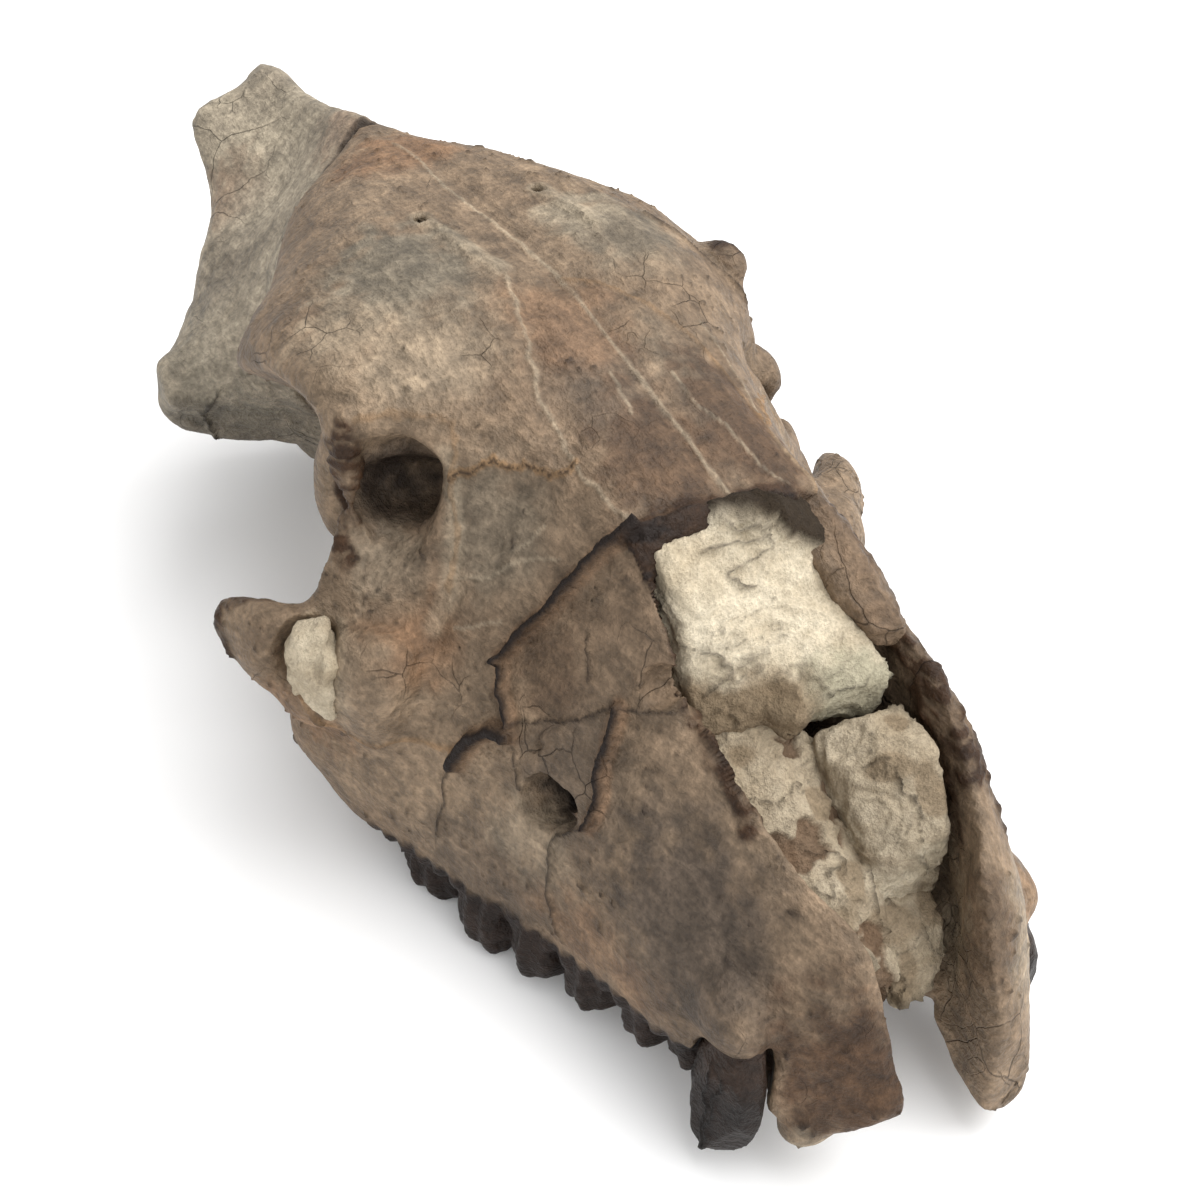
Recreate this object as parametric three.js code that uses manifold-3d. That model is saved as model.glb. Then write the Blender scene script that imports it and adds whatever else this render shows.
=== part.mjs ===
// Fossil skull of an oreodont, resting on its cheek teeth and on the left process behind the ear.
// Anatomical frame in mm: X to the animal's left, Y from the snout to the nape, Z up from the chewing level.
import * as THREE from "three";
import { mergeVertices } from "three/addons/utils/BufferGeometryUtils.js";
import Module from "manifold-3d";

const wasm = await Module();
wasm.setup();

const SEAM = 0.4;
const FINEST = 0.12;
const RING = 34;
const MOLAR_REST_Y = 78;
const REAR_REST_Y = 188;
const REAR_REST_Z = 8.5;
const REST_SLOPE = REAR_REST_Z / (REAR_REST_Y - MOLAR_REST_Y);
const FAR = 260;

// Rails of the skull's section: station Y, distance from the midline, height.
// The left half is crushed lower.
const CROWN = [
  [11, 0, 20], [18, 0, 32], [32, 0, 44], [44, 0, 52], [56, 0, 60], [71, 0, 66], [83, 0, 70.6],
  [97, 0, 75], [112, 0, 77.2], [127, 0, 79.2], [145, 0, 81], [160, 0, 81.6], [176, 0, 80],
  [190, 0, 79.4], [200, 0, 81.4], [207, 0, 80.6],
];
const SHOULDER = [
  [11, 4, 17], [18, 5, 31], [32, 6, 42], [44, 7, 50], [56, 6, 60], [71, 9, 65.5], [83, 13, 69.5],
  [97, 19, 75], [112, 21, 76.9], [127, 17, 78.2], [140, 12, 78.6], [150, 8, 78], [160, 4, 78],
  [176, 3.4, 76], [190, 4.5, 76], [200, 7, 78.5], [207, 4, 75],
];
const ROOF_EDGE = [
  [11, 7, 13], [14.5, 9, 21.5], [18, 11, 28], [25, 12, 31.5], [31.6, 13, 36.8], [37, 13, 38.5],
  [44, 14, 44], [50, 13.4, 52], [56, 12.4, 58.5], [64, 13, 61.5], [72, 15.5, 63.5], [80, 22, 64.5],
  [86, 32, 66.5], [90, 35.5, 67.5], [96, 37.4, 69], [104, 38, 69], [111, 38.4, 67], [117, 38.6, 64.5],
  [121, 36.5, 64], [126, 31, 66], [135, 25.6, 68.3], [148, 18, 71.6], [160, 11, 71], [176, 10, 67.5],
  [186, 13.5, 68.5], [195, 17, 71.6], [201, 16, 74.5], [207, 9, 74],
];
const WALL = [
  [11, 9, 9], [18, 14.2, 19], [25, 16.4, 24], [32, 17.6, 28], [44, 18.6, 34], [56, 18.6, 44],
  [64, 19.5, 46.5], [72, 22.5, 48.5], [80, 28, 51], [86, 34.6, 55], [89.6, 36.6, 57], [91.2, 34, 56],
  [93.5, 23, 54], [98, 18, 53], [110, 16.5, 52], [127, 17, 51], [140, 19, 53], [150, 22.5, 55],
  [165, 26, 55], [178, 24, 57], [188, 18, 60], [196, 14.6, 66], [203, 11, 70], [207, 7, 70.5],
];
const BULGE = [
  [11, 9.6, 11], [14, 12, 8.4], [17, 14.4, 7.6], [21, 18.6, 10.5], [28, 22, 14], [37, 24.6, 17.5],
  [46, 25.4, 21],
  [56, 26.4, 25], [66, 28.6, 28], [76, 32.6, 31], [84, 38.6, 34], [90, 42.6, 36], [96, 43.4, 33],
  [100, 42, 28], [103.5, 38, 24], [107, 27, 22], [112, 17, 30], [127, 15, 34], [140, 19, 43],
  [148, 24, 45], [156, 33, 44], [163, 38.4, 41.4], [169, 37.4, 38.6], [176, 29.6, 36.4],
  [184, 23, 33.4], [191, 18.5, 37], [198, 12, 50], [207, 5, 68],
];
const GUM = [
  [11, 9.6, 9.4], [14, 12, 5.6], [17, 14.6, 3.8], [21, 18.4, 6], [29, 21.4, 7.4], [37, 23.4, 6.8],
  [47, 25.6, 6.4],
  [58, 28.6, 6.4], [68, 32.2, 6.6], [80, 35.4, 7], [90, 38, 7.4], [99, 38.6, 8.4], [103, 35, 10],
  [107, 24, 15], [113, 13, 22], [127, 12, 23], [140, 12, 33], [150, 16, 38], [158, 28, 38.6],
  [165, 35.6, 33.6], [171, 31.4, 32], [178, 24.4, 29], [186, 19.6, 25], [192, 14, 27.6], [199, 9, 42],
  [207, 4, 66],
];
const PALATE_EDGE = [
  [11, 7.4, 9], [14, 8.2, 5.6], [17, 9, 4], [22, 10, 6], [29, 11.4, 9], [37, 12.6, 10.6], [47, 14, 11.6],
  [58, 16, 12.6], [68, 17.4, 13.2], [80, 18.4, 13.6], [99, 18.6, 14], [104, 16, 15], [109, 12, 18],
  [114, 8.6, 20], [127, 8, 21], [140, 8, 24], [150, 9, 26], [160, 10, 26], [171, 11, 25],
  [180, 11, 23.6], [187, 9.6, 22.6], [193, 6.6, 24], [199, 4.6, 38], [207, 2, 65],
];
const PALATE_MID = [
  [11, 0, 5], [22, 0, 9], [29, 0, 11.4], [47, 0, 13.6], [68, 0, 15.4], [84, 0, 16.4], [99, 0, 17.4],
  [106, 0, 21], [112, 0, 27], [127, 0, 27], [140, 0, 25], [150, 0, 24.4], [160, 0, 24], [180, 0, 21.4],
  [187, 0, 21], [193, 0, 24], [199, 0, 39], [207, 0, 65],
];
const SHOULDER_LEFT = [
  [11, 4, 17], [18, 6, 31], [32, 7, 44], [44, 8, 51], [56, 6, 60], [71, 9, 65.5], [83, 13, 69.4],
  [97, 18, 75], [112, 19.4, 77.8], [127, 16.4, 79], [140, 12, 79], [150, 8, 78], [160, 4, 78],
  [176, 3, 76], [190, 3.4, 75], [200, 3.4, 77.4], [207, 2, 75],
];
const ROOF_EDGE_LEFT = [
  [11, 9, 12], [14.5, 11, 19.5], [18, 13, 26], [25, 15, 32], [31.6, 16, 39], [37, 16.4, 43.4],
  [44, 16.4, 46.6], [50, 15, 53], [56, 13, 58.5], [64, 13, 61.5], [72, 15.5, 62.6], [80, 21, 60.6],
  [86, 25.4, 60], [90, 28, 60], [96, 31, 60.6], [104, 33, 61.6], [111, 35.4, 61.4],
  [116.6, 39.4, 59.6], [121, 35, 62], [126, 29.4, 65.6], [135, 24.6, 68.3], [148, 17.6, 71.6],
  [160, 10.6, 71], [176, 9.4, 67], [186, 10, 66], [195, 11.6, 67], [201, 10, 70], [207, 6, 72],
];
const WALL_LEFT = [
  [11, 11.4, 7], [18, 16.2, 17], [25, 18.6, 23], [32, 19.6, 30], [44, 19.6, 38], [56, 19.4, 45],
  [64, 20, 46.5], [72, 22, 48], [80, 26.6, 49.6], [86, 30, 51.4], [89.6, 31.6, 52], [91.2, 30, 51.6],
  [93.5, 22, 52], [98, 18, 52], [110, 16.5, 51], [127, 17, 51], [140, 19, 53], [150, 22.5, 55],
  [165, 26, 55], [178, 24, 57], [188, 18, 60], [196, 13, 63], [203, 8.6, 67], [207, 5, 69],
];
const BULGE_LEFT = [
  [11, 12, 4], [16, 16, 3.6], [21, 20.6, 8.6], [28, 23, 14], [37, 24.6, 17.5], [46, 25.4, 21],
  [56, 26.4, 25], [66, 28, 28], [76, 31.4, 30], [84, 36, 32], [90, 40, 33], [96, 41, 31],
  [100, 40, 27], [103.5, 36, 23], [107, 27, 22], [112, 17, 30], [127, 15, 34], [140, 19, 43],
  [148, 24, 45], [156, 33, 44], [163, 38.4, 41.4], [169, 37.4, 38.6], [176, 29.6, 36.4],
  [184, 23, 33.4], [191, 18.5, 37], [198, 12, 50], [207, 5, 68],
];
const GUM_LEFT = [
  [11, 11.6, 0.6], [16, 15.4, -1.6], [21, 19.6, 3.6], [29, 21.6, 7], [37, 23.4, 6.8], [47, 25.6, 6.4],
  [58, 28.6, 6.4], [68, 32.2, 6.6], [80, 35.4, 7], [90, 38, 7.4], [99, 38.6, 8.4], [103, 35, 10],
  [107, 24, 15], [113, 13, 22], [127, 12, 23], [140, 12, 33], [150, 16, 38], [158, 28, 38.6],
  [165, 35.6, 33.6], [171, 31.4, 32], [178, 24.4, 29], [186, 19.6, 25], [192, 14, 27.6], [199, 9, 42],
  [207, 4, 66],
];
const PALATE_EDGE_LEFT = [
  [11, 8.4, -1], [16, 9.6, -1.8], [22, 10.6, 4.6], [29, 11.6, 8.6], [37, 12.6, 10.6], [47, 14, 11.6],
  [58, 16, 12.6], [68, 17.4, 13.2], [80, 18.4, 13.6], [99, 18.6, 14], [104, 16, 15], [109, 12, 18],
  [114, 8.6, 20], [127, 8, 21], [140, 8, 24], [150, 9, 26], [160, 10, 26], [171, 11, 25],
  [180, 11, 23.6], [187, 9.6, 22.6], [193, 6.6, 24], [199, 4.6, 38], [207, 2, 65],
];
const RIGHT_RAILS = [CROWN, SHOULDER, ROOF_EDGE, WALL, BULGE, GUM, PALATE_EDGE, PALATE_MID];
const LEFT_RAILS = [SHOULDER_LEFT, ROOF_EDGE_LEFT, WALL_LEFT, BULGE_LEFT, GUM_LEFT, PALATE_EDGE_LEFT];
const STATIONS = [
  11, 12.5, 14.5, 17, 20, 23, 26.5, 30, 34, 38, 42, 46, 50, 54, 58, 62, 66, 70, 74, 77.5, 80.5, 83.5, 86, 88,
  89.8, 91.4, 93.2, 95.5, 98, 101, 104, 107, 110, 113, 116, 118.5, 121, 124, 128, 133, 138, 143, 148, 152,
  156, 160, 164, 168, 172, 176, 180, 184, 188, 192, 195.5, 199, 203, 207,
];

// Pieces are closed meshes in world space; solids are what the booleans work on.
function solid(geometry) {
  geometry.deleteAttribute("normal");
  geometry.deleteAttribute("uv");
  const merged = mergeVertices(geometry, 1e-4);
  return new wasm.Manifold(
    new wasm.Mesh({
      numProp: 3,
      vertProperties: new Float32Array(merged.attributes.position.array),
      triVerts: new Uint32Array(merged.index.array),
    }),
  );
}

// A closed skin through rings of equal point counts, each end shut by a fan.
function skin(rings) {
  const count = rings[0].length;
  const position = [];
  for (const ring of rings) for (const p of ring) position.push(p.x, p.y, p.z);
  const index = [];
  for (let r = 0; r + 1 < rings.length; r++)
    for (let i = 0; i < count; i++) {
      const j = (i + 1) % count;
      const a = r * count + i;
      const b = r * count + j;
      index.push(a, b, a + count, b, b + count, a + count);
    }
  for (const [r, turned] of [[0, true], [rings.length - 1, false]]) {
    const centre = rings[r].reduce((sum, p) => sum.add(p), new THREE.Vector3()).divideScalar(count);
    const hub = position.length / 3;
    position.push(centre.x, centre.y, centre.z);
    for (let i = 0; i < count; i++) {
      const a = r * count + i;
      const b = r * count + ((i + 1) % count);
      index.push(hub, turned ? b : a, turned ? a : b);
    }
  }
  const geometry = new THREE.BufferGeometry();
  geometry.setAttribute("position", new THREE.Float32BufferAttribute(position, 3));
  geometry.setIndex(index);
  const made = solid(geometry);
  if (made.volume() > 0) return made;
  for (let i = 0; i < index.length; i += 3) [index[i + 1], index[i + 2]] = [index[i + 2], index[i + 1]];
  geometry.setIndex(index);
  return solid(geometry);
}

// Smooth value of a rail at a station, by cubic steps that never overshoot their neighbours.
function railAt(rail, y) {
  let i = 0;
  while (i < rail.length - 2 && y > rail[i + 1][0]) i++;
  const slope = (k, c) => (rail[k + 1][c] - rail[k][c]) / (rail[k + 1][0] - rail[k][0]);
  const tangent = (k, c) => {
    if (k === 0) return slope(0, c);
    if (k === rail.length - 1) return slope(k - 1, c);
    const before = slope(k - 1, c);
    const after = slope(k, c);
    return before * after <= 0 ? 0 : (2 * before * after) / (before + after);
  };
  const span = rail[i + 1][0] - rail[i][0];
  const t = THREE.MathUtils.clamp((y - rail[i][0]) / span, 0, 1);
  const at = (c) =>
    (2 * t ** 3 - 3 * t ** 2 + 1) * rail[i][c] +
    (t ** 3 - 2 * t ** 2 + t) * span * tangent(i, c) +
    (3 * t ** 2 - 2 * t ** 3) * rail[i + 1][c] +
    (t ** 3 - t ** 2) * span * tangent(i + 1, c);
  return new THREE.Vector3(at(1), y, at(2));
}

function skullBody() {
  const rings = STATIONS.map((y) => {
    const right = RIGHT_RAILS.map((rail) => railAt(rail, y));
    for (const p of right) p.x *= -1;
    const left = LEFT_RAILS.map((rail) => railAt(rail, y)).reverse();
    const loop = new THREE.CatmullRomCurve3([...right, ...left], true, "centripetal");
    return loop.getPoints(RING).slice(0, RING);
  });
  return skin(rings);
}

// A tapered limb through centres, with two half widths at each; its rings stand square to the run.
function limb(stops, sides = 14) {
  const rings = stops.map((stop, k) => {
    const here = new THREE.Vector3(...stop.at);
    const next = new THREE.Vector3(...(stops[k + 1] ?? stop).at);
    const last = new THREE.Vector3(...(stops[k - 1] ?? stop).at);
    const run = next.sub(last).normalize();
    const wide = new THREE.Vector3(...(stop.wide ?? [1, 0, 0]));
    wide.addScaledVector(run, -wide.dot(run)).normalize();
    const tall = new THREE.Vector3().crossVectors(run, wide);
    return Array.from({ length: sides }, (_, i) => {
      const a = (2 * Math.PI * i) / sides;
      const out = here.clone().addScaledVector(wide, stop.w * Math.cos(a));
      return out.addScaledVector(tall, stop.h * Math.sin(a));
    });
  });
  return skin(rings);
}

function ball(at, radii, turn = [0, 0, 0]) {
  const geometry = new THREE.SphereGeometry(1, 14, 9);
  geometry.scale(...radii);
  geometry.rotateX(turn[0]).rotateY(turn[1]).rotateZ(turn[2]);
  geometry.translate(...at);
  return solid(geometry);
}

// A straight prism over an outline: "x", "y" or "z" is the direction it runs in.
function prism(outline, axis, low, high) {
  const point = {
    x: (p, s) => new THREE.Vector3(s, p[0], p[1]),
    y: (p, s) => new THREE.Vector3(p[0], s, p[1]),
    z: (p, s) => new THREE.Vector3(p[0], p[1], s),
  }[axis];
  const shape = outline.map((p) => new THREE.Vector2(...p));
  const faces = THREE.ShapeUtils.triangulateShape(shape, []);
  const count = outline.length;
  const position = [];
  for (const s of [low, high]) for (const p of outline) position.push(...point(p, s).toArray());
  const index = [];
  for (const [a, b, c] of faces) index.push(a, c, b, a + count, b + count, c + count);
  const turned = THREE.ShapeUtils.isClockWise(shape);
  for (let i = 0; i < count; i++) {
    const j = (i + 1) % count;
    if (turned) index.push(i, i + count, j, j, i + count, j + count);
    else index.push(i, j, i + count, j, j + count, i + count);
  }
  const geometry = new THREE.BufferGeometry();
  geometry.setAttribute("position", new THREE.Float32BufferAttribute(position, 3));
  geometry.setIndex(index);
  let made = solid(geometry);
  if (made.volume() < 0) {
    for (let i = 0; i < index.length; i += 3) [index[i + 1], index[i + 2]] = [index[i + 2], index[i + 1]];
    geometry.setIndex(index);
    made = solid(geometry);
  }
  return made;
}

// Parts a body at a block: what lies inside it and what lies outside, a seam apart.
function part(body, block, way) {
  const step = new THREE.Vector3(...way).multiplyScalar(SEAM / 2);
  const inner = block.translate([-step.x, -step.y, -step.z]);
  const outer = block.translate([step.x, step.y, step.z]);
  return [body.intersect(inner), body.subtract(outer)];
}

const mirrored = (points) => points.map(([x, ...rest]) => [-x, ...rest]);

// Cheek teeth from the front: centre across, centre along, length, width, chewing height, lobes.
const CHEEK_TEETH = [
  { x: 19.6, y: 33.5, long: 6, wide: 4.6, low: 1.6, lobes: 1 },
  { x: 21.2, y: 41, long: 8, wide: 5.6, low: 0.6, lobes: 1 },
  { x: 23.2, y: 49.6, long: 8.6, wide: 7.4, low: 0, lobes: 1 },
  { x: 25.2, y: 57.8, long: 7.6, wide: 9.6, low: -0.4, lobes: 1 },
  { x: 27, y: 67.2, long: 11, wide: 12, low: -1.3, lobes: 2 },
  { x: 28, y: 79.4, long: 13, wide: 13.6, low: -0.6, lobes: 2 },
  { x: 28, y: 94, long: 16, wide: 14, low: 2.4, lobes: 2 },
];
const CROWN_TOP = 11;
const ROOT_TOP = 18;
const BASIN_DEPTH = 2.6;

function cheekTooth(tooth, side) {
  const sides = tooth.lobes === 2 ? 18 : 12;
  const ring = (scale, z, lobe) =>
    Array.from({ length: sides }, (_, i) => {
      const a = (2 * Math.PI * i) / sides;
      const swell = 1 + lobe * Math.cos(2 * tooth.lobes * a);
      const square = (Math.abs(Math.cos(a)) ** 3 + Math.abs(Math.sin(a)) ** 3) ** (-1 / 3);
      return new THREE.Vector3(
        side * tooth.x + 0.5 * tooth.wide * scale * swell * square * Math.cos(a),
        tooth.y + 0.5 * tooth.long * scale * square * Math.sin(a),
        z,
      );
    });
  const crest = ring(0.86, tooth.low, 0.03);
  crest.forEach((p, i) => {
    const a = (2 * Math.PI * i) / sides;
    const notch = tooth.lobes === 2 ? Math.cos(2 * a) ** 2 : Math.sin(a) ** 2;
    p.z += tooth.lobes === 2 ? 1.5 * notch : 1.1 * notch;
  });
  const basin = ring(0.42, tooth.low + BASIN_DEPTH, 0);
  const rings = [ring(0.62, ROOT_TOP, 0), ring(0.8, CROWN_TOP, 0.02), ring(1, tooth.low + 5, 0.05)];
  rings.push(ring(0.97, tooth.low + 2.2, 0.06), crest, basin);
  return skin(rings);
}

// Whole skull, before its bones are parted.
let skull = skullBody();

// Broken cheekbone stumps under the eye sockets: the right one reaches further back than the left.
const JUGAL_RIGHT = [
  { at: [-33, 80, 31], w: 7, h: 11 },
  { at: [-40, 86, 34.6], w: 5.6, h: 10 },
  { at: [-45.4, 92.6, 36.6], w: 4.4, h: 7.6 },
  { at: [-48.2, 98, 38], w: 3, h: 4.6 },
  { at: [-49, 101, 38.2], w: 1.9, h: 2.9 },
];
const JUGAL_LEFT = [
  { at: [32, 80, 30], w: 7, h: 9.4 },
  { at: [39.4, 86, 32], w: 5.2, h: 7.6 },
  { at: [45, 93, 32.4], w: 4, h: 6.6 },
  { at: [47.6, 98, 32], w: 2.6, h: 4.8 },
  { at: [48.2, 100.2, 31.6], w: 1.6, h: 2.8 },
];
skull = skull.add(limb(JUGAL_RIGHT)).add(limb(JUGAL_LEFT));

// Roots of the cheek arches behind the jaw joint, each ending in a break.
for (const side of [-1, 1])
  skull = skull.add(
    limb([
      { at: [side * 24, 163, 43], w: 7, h: 7, wide: [0, 1, 0] },
      { at: [side * 32, 163, 43], w: 7, h: 5.4, wide: [0, 1, 0] },
      { at: [side * 37.4, 164, 42.6], w: 5.2, h: 4, wide: [0, 1, 0] },
    ]),
  );

// Ear capsules, condyles and the processes behind the ears: the right process is broken short.
for (const side of [-1, 1]) {
  skull = skull.add(ball([side * 10.6, 166, 26.4], [5, 9, 4.6]));
  skull = skull.add(ball([side * 9.4, 192.6, 24.6], [6.4, 8.4, 8.6], [0.3, 0, 0]));
}
const PROCESS_LEFT = [
  { at: [17, 183, 32], w: 6.4, h: 7.4 },
  { at: [17, 186, 22], w: 4.8, h: 5.4 },
  { at: [16.4, 188, 12.6], w: 3.6, h: 4 },
  { at: [16, REAR_REST_Y, REAR_REST_Z - 0.6], w: 2.6, h: 3 },
];
const PROCESS_RIGHT = [
  { at: [-17, 183, 33], w: 6.4, h: 7.4 },
  { at: [-18, 184.6, 25], w: 4.8, h: 5.4 },
  { at: [-18.4, 185.4, 20.8], w: 3.4, h: 3.8 },
];
skull = skull.add(limb(PROCESS_LEFT)).add(limb(PROCESS_RIGHT));

// Wings behind the palate, broken along their lower edge.
for (const side of [-1, 1])
  skull = skull.add(
    limb([
      { at: [side * 11, 108, 26], w: 3, h: 10, wide: [1, 0, 0] },
      { at: [side * 9, 118, 23], w: 2, h: 8, wide: [1, 0, 0] },
      { at: [side * 9, 130, 22], w: 1.6, h: 6, wide: [1, 0, 0] },
      { at: [side * 10, 140, 22], w: 1.4, h: 4, wide: [1, 0, 0] },
    ]),
  );

// Openings in the bone: tear pits in front of the eyes, nerve holes, spinal opening.
const PIT_RIGHT = [
  { at: [-44, 78.6, 59], w: 9, h: 12 },
  { at: [-33, 83.6, 56.6], w: 7.4, h: 9.6 },
  { at: [-27.6, 86.4, 58.4], w: 5.4, h: 6.8 },
  { at: [-23.6, 89.2, 59.4], w: 2.8, h: 3.8 },
];
const PIT_LEFT = mirroredStops(PIT_RIGHT);
function mirroredStops(stops) {
  return stops.map(({ at, ...rest }) => ({ at: [-at[0], at[1], at[2]], ...rest }));
}
skull = skull.subtract(limb(PIT_RIGHT)).subtract(limb(PIT_LEFT));
for (const side of [-1, 1]) {
  skull = skull.subtract(ball([side * 26.6, 57, 27], [4, 2.9, 2.5], [0, 0, side * 0.5]));
  skull = skull.subtract(ball([side * 10.6, 115.4, 79.2], [1.2, 1.2, 2.6]));
}
skull = skull.subtract(ball([0, 197, 33], [8, 9, 7]));

// Nose trough: the roof of the snout is lost in front of the break, and the tips stand apart.
const TROUGH = [
  [8, 5.4, 4.6, -8], [14, 6, 5, -8], [20, 7, 6.6, 2], [24, 8.4, 10, 10], [30, 10, 11.8, 13],
  [38, 11, 12.8, 17],
  [46, 11.2, 12.8, 22], [52, 11, 12, 28], [56.4, 10.6, 11, 36],
];
const trough = (inset) =>
  skin(
    TROUGH.map(([y, toRight, toLeft, floor]) => {
      const right = -toRight + inset;
      const left = toLeft - inset;
      const low = floor + inset;
      const middle = (90 + low) / 2;
      return [
        [right, 90], [left, 90], [left + 1.2, middle], [left + 0.8, low + 6], [left - 2, low],
        [right + 2, low], [right - 0.8, low + 6], [right - 1.2, middle],
      ].map(([x, z]) => new THREE.Vector3(x, y + (y < 20 ? inset : y > 56 ? -inset : 0), z));
    }),
  );
skull = skull.subtract(trough(0));

// Teeth of both rows, then the level the skull stands on.
for (const tooth of CHEEK_TEETH) for (const side of [-1, 1]) skull = skull.add(cheekTooth(tooth, side));
const restLevel = (y) => (y - MOLAR_REST_Y) * REST_SLOPE;
const tableEdge = [[-20, restLevel(-20)], [FAR, restLevel(FAR)], [FAR, -60], [-20, -100]];
const table = prism(tableEdge, "x", -90, 90);
skull = skull.subtract(table);

const nodes = {};

// Rear third: the crack behind the brow parts it from the face.
const CORONAL = [[0, 159], [9, 154.6], [18, 148], [27, 136.6], [34, 127.6], [70, 120]];
const coronal = [...mirrored(CORONAL).reverse().slice(0, -1), ...CORONAL, [70, FAR], [-70, FAR]];
let [rear, front] = part(skull, prism(coronal, "z", -60, 120), [0, -1, 0]);

const nape = [[205, 110], [200.6, 74], [192, 48], [182, 34], [176, -40], [FAR, -40], [FAR, 110]];
[nodes.occipital, rear] = part(rear, prism(nape, "x", -90, 90), [0, -1, 0]);
for (const side of [-1, 1]) {
  const edge = [[side * 20.6, -40], [side * 20.6, 44], [side * 26, 52], [side * 80, 60], [side * 80, -40]];
  [nodes[side < 0 ? "temporal_right" : "temporal_left"], rear] = part(
    rear,
    prism(edge, "y", 100, FAR),
    [-side, 0, 1],
  );
}
nodes.braincase = rear;

// Roof bones over the face.
const brow = [[-40, 110], [-40, 66], [52, 66], [59, 60.4], [70, 60], [82, 60.4], [88, 63],
  [92, 61], [96, 53],
  [104, 49],
  [FAR, 49], [FAR, 110]];
let [roof, face] = part(front, prism(brow, "x", -90, 90), [0, 0, -1]);
const halfBlock = (side) => prism([[0, -40], [side * 90, -40], [side * 90, FAR], [0, FAR]], "z", -60, 120);
const NASAL = [
  [0, 98], [5, 94.6], [8.6, 89], [10.6, 82], [12.4, 73], [13, 66], [12.4, 59], [14, 50], [0, 50],
];
for (const side of [-1, 1]) {
  const name = side < 0 ? "right" : "left";
  let [half, rest] = part(roof, halfBlock(side), [-side, 0, 0]);
  const nasal = NASAL.map(([x, y]) => [side * x, y]);
  nasal[0][0] = -side * 3;
  nasal[nasal.length - 1][0] = -side * 3;
  [nodes["nasal_" + name], nodes["frontal_" + name]] = part(half, prism(nasal, "z", -60, 120), [side, 1, 0]);
  roof = rest;
}

// Bones under the rear of the face, and the two halves of the face.
const choana = [[106, -40], [106, 34], [112, 50], [112, 90], [FAR, 90], [FAR, -40]];
[nodes.sphenoid, face] = part(face, prism(choana, "x", -90, 90), [0, -1, 0]);
const CHEEK = [[36.6, 130], [36.6, 90], [38.4, 85], [44, 81], [90, 76], [90, 130]];
const TEAR = [[75, 66], [74.4, 57], [76.4, 46.6], [83, 42.4], [90, 44.4], [FAR, 46], [FAR, 66]];
const PREMAX = [
  [47, 46], [40, 35], [32.6, 27], [27, 19], [23.4, 10], [22, 4], [22, -20], [0, -20], [0, 60], [47, 60],
];
for (const side of [-1, 1]) {
  const name = side < 0 ? "right" : "left";
  let [half, rest] = part(face, halfBlock(side), [-side, 0, 0]);
  face = rest;
  const cheek = CHEEK.map(([x, y]) => [side * x, y]);
  [nodes["jugal_" + name], half] = part(half, prism(cheek, "z", 24, 120), [-side, -1, -1]);
  const tear = prism(TEAR, "x", Math.min(side * 20, side * 90), Math.max(side * 20, side * 90));
  [nodes["lacrimal_" + name], half] = part(half, tear, [-side, -1, -1]);
  const tip = prism(PREMAX, "x", -90, 90);
  [nodes["premaxilla_" + name], nodes["maxilla_" + name]] = part(half, tip, [0, 1, 0]);
}

// Eye teeth in their sockets.
const CANINE_RIGHT = [
  { at: [-17.4, 26, 16], w: 2.6, h: 3.4 },
  { at: [-19.6, 25.6, 10], w: 3.4, h: 5.2 },
  { at: [-21.4, 24.6, 5], w: 3.5, h: 5.6 },
  { at: [-22.4, 23.6, 1.4], w: 3, h: 4.6 },
  { at: [-22.4, 22.4, -0.6], w: 1.5, h: 2 },
];
nodes.canine_right = limb(CANINE_RIGHT);
nodes.canine_left = limb(mirroredStops(CANINE_RIGHT));
const socketRight = limb(CANINE_RIGHT.map(({ at, w, h }) => ({ at, w: w + 0.3, h: h + 0.3 })));
const socketLeft = limb(mirroredStops(CANINE_RIGHT).map(({ at, w, h }) => ({ at, w: w + 0.3, h: h + 0.3 })));

// Rock that fills the nose, in blocks parted by cracks.
function rock(rings) {
  return skin(rings.map((ring) => ring.map((p) => new THREE.Vector3(...p))));
}
nodes.matrix_upper = rock([
  [[-10.4, 56, 58], [-10.6, 57, 40], [10.2, 57, 40], [10.2, 56, 55.6], [0, 56.4, 59.4]],
  [[-9.8, 52, 54], [-10.8, 51, 39], [10.8, 51, 37], [10.4, 50, 49], [0, 51.6, 52]],
  [[-10, 49, 46.6], [-10.8, 48, 38], [10.8, 45, 36], [11, 44, 45], [0, 46.4, 46]],
  [[-10, 47.6, 41.6], [-10.6, 47, 38.4], [10.8, 42.6, 37], [11, 40.8, 42], [0, 43, 40]],
]);
nodes.matrix_lower_right = rock([
  [[-10.6, 47.4, 37.2], [-10.8, 46, 25], [1, 44, 24], [1.6, 43.2, 35.6], [-4, 45.4, 38]],
  [[-10.2, 40, 33], [-10.4, 40, 19], [1.4, 38, 18], [1.8, 37, 29], [-4, 38.6, 33.4]],
  [[-9.4, 32, 26.6], [-9.4, 32, 15], [1.6, 31, 14.4], [2, 30, 22], [-3.6, 31, 26.4]],
  [[-7.2, 24.6, 18], [-7.2, 25, 11], [0, 24, 10.6], [0.4, 23, 15], [-3, 23.6, 18]],
]);
nodes.matrix_lower_left = rock([
  [[2.4, 41.4, 36], [2.4, 42, 24], [10.8, 41, 24], [11, 38, 38], [7, 38.6, 38.6]],
  [[2.6, 35, 33], [2.6, 35, 21], [10.6, 34, 21], [10.8, 32, 37], [7, 33.6, 36.6]],
  [[3, 30, 25], [3, 30, 20], [9.6, 29, 20], [9.8, 27.6, 29], [7, 28.4, 28.6]],
]);
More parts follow.
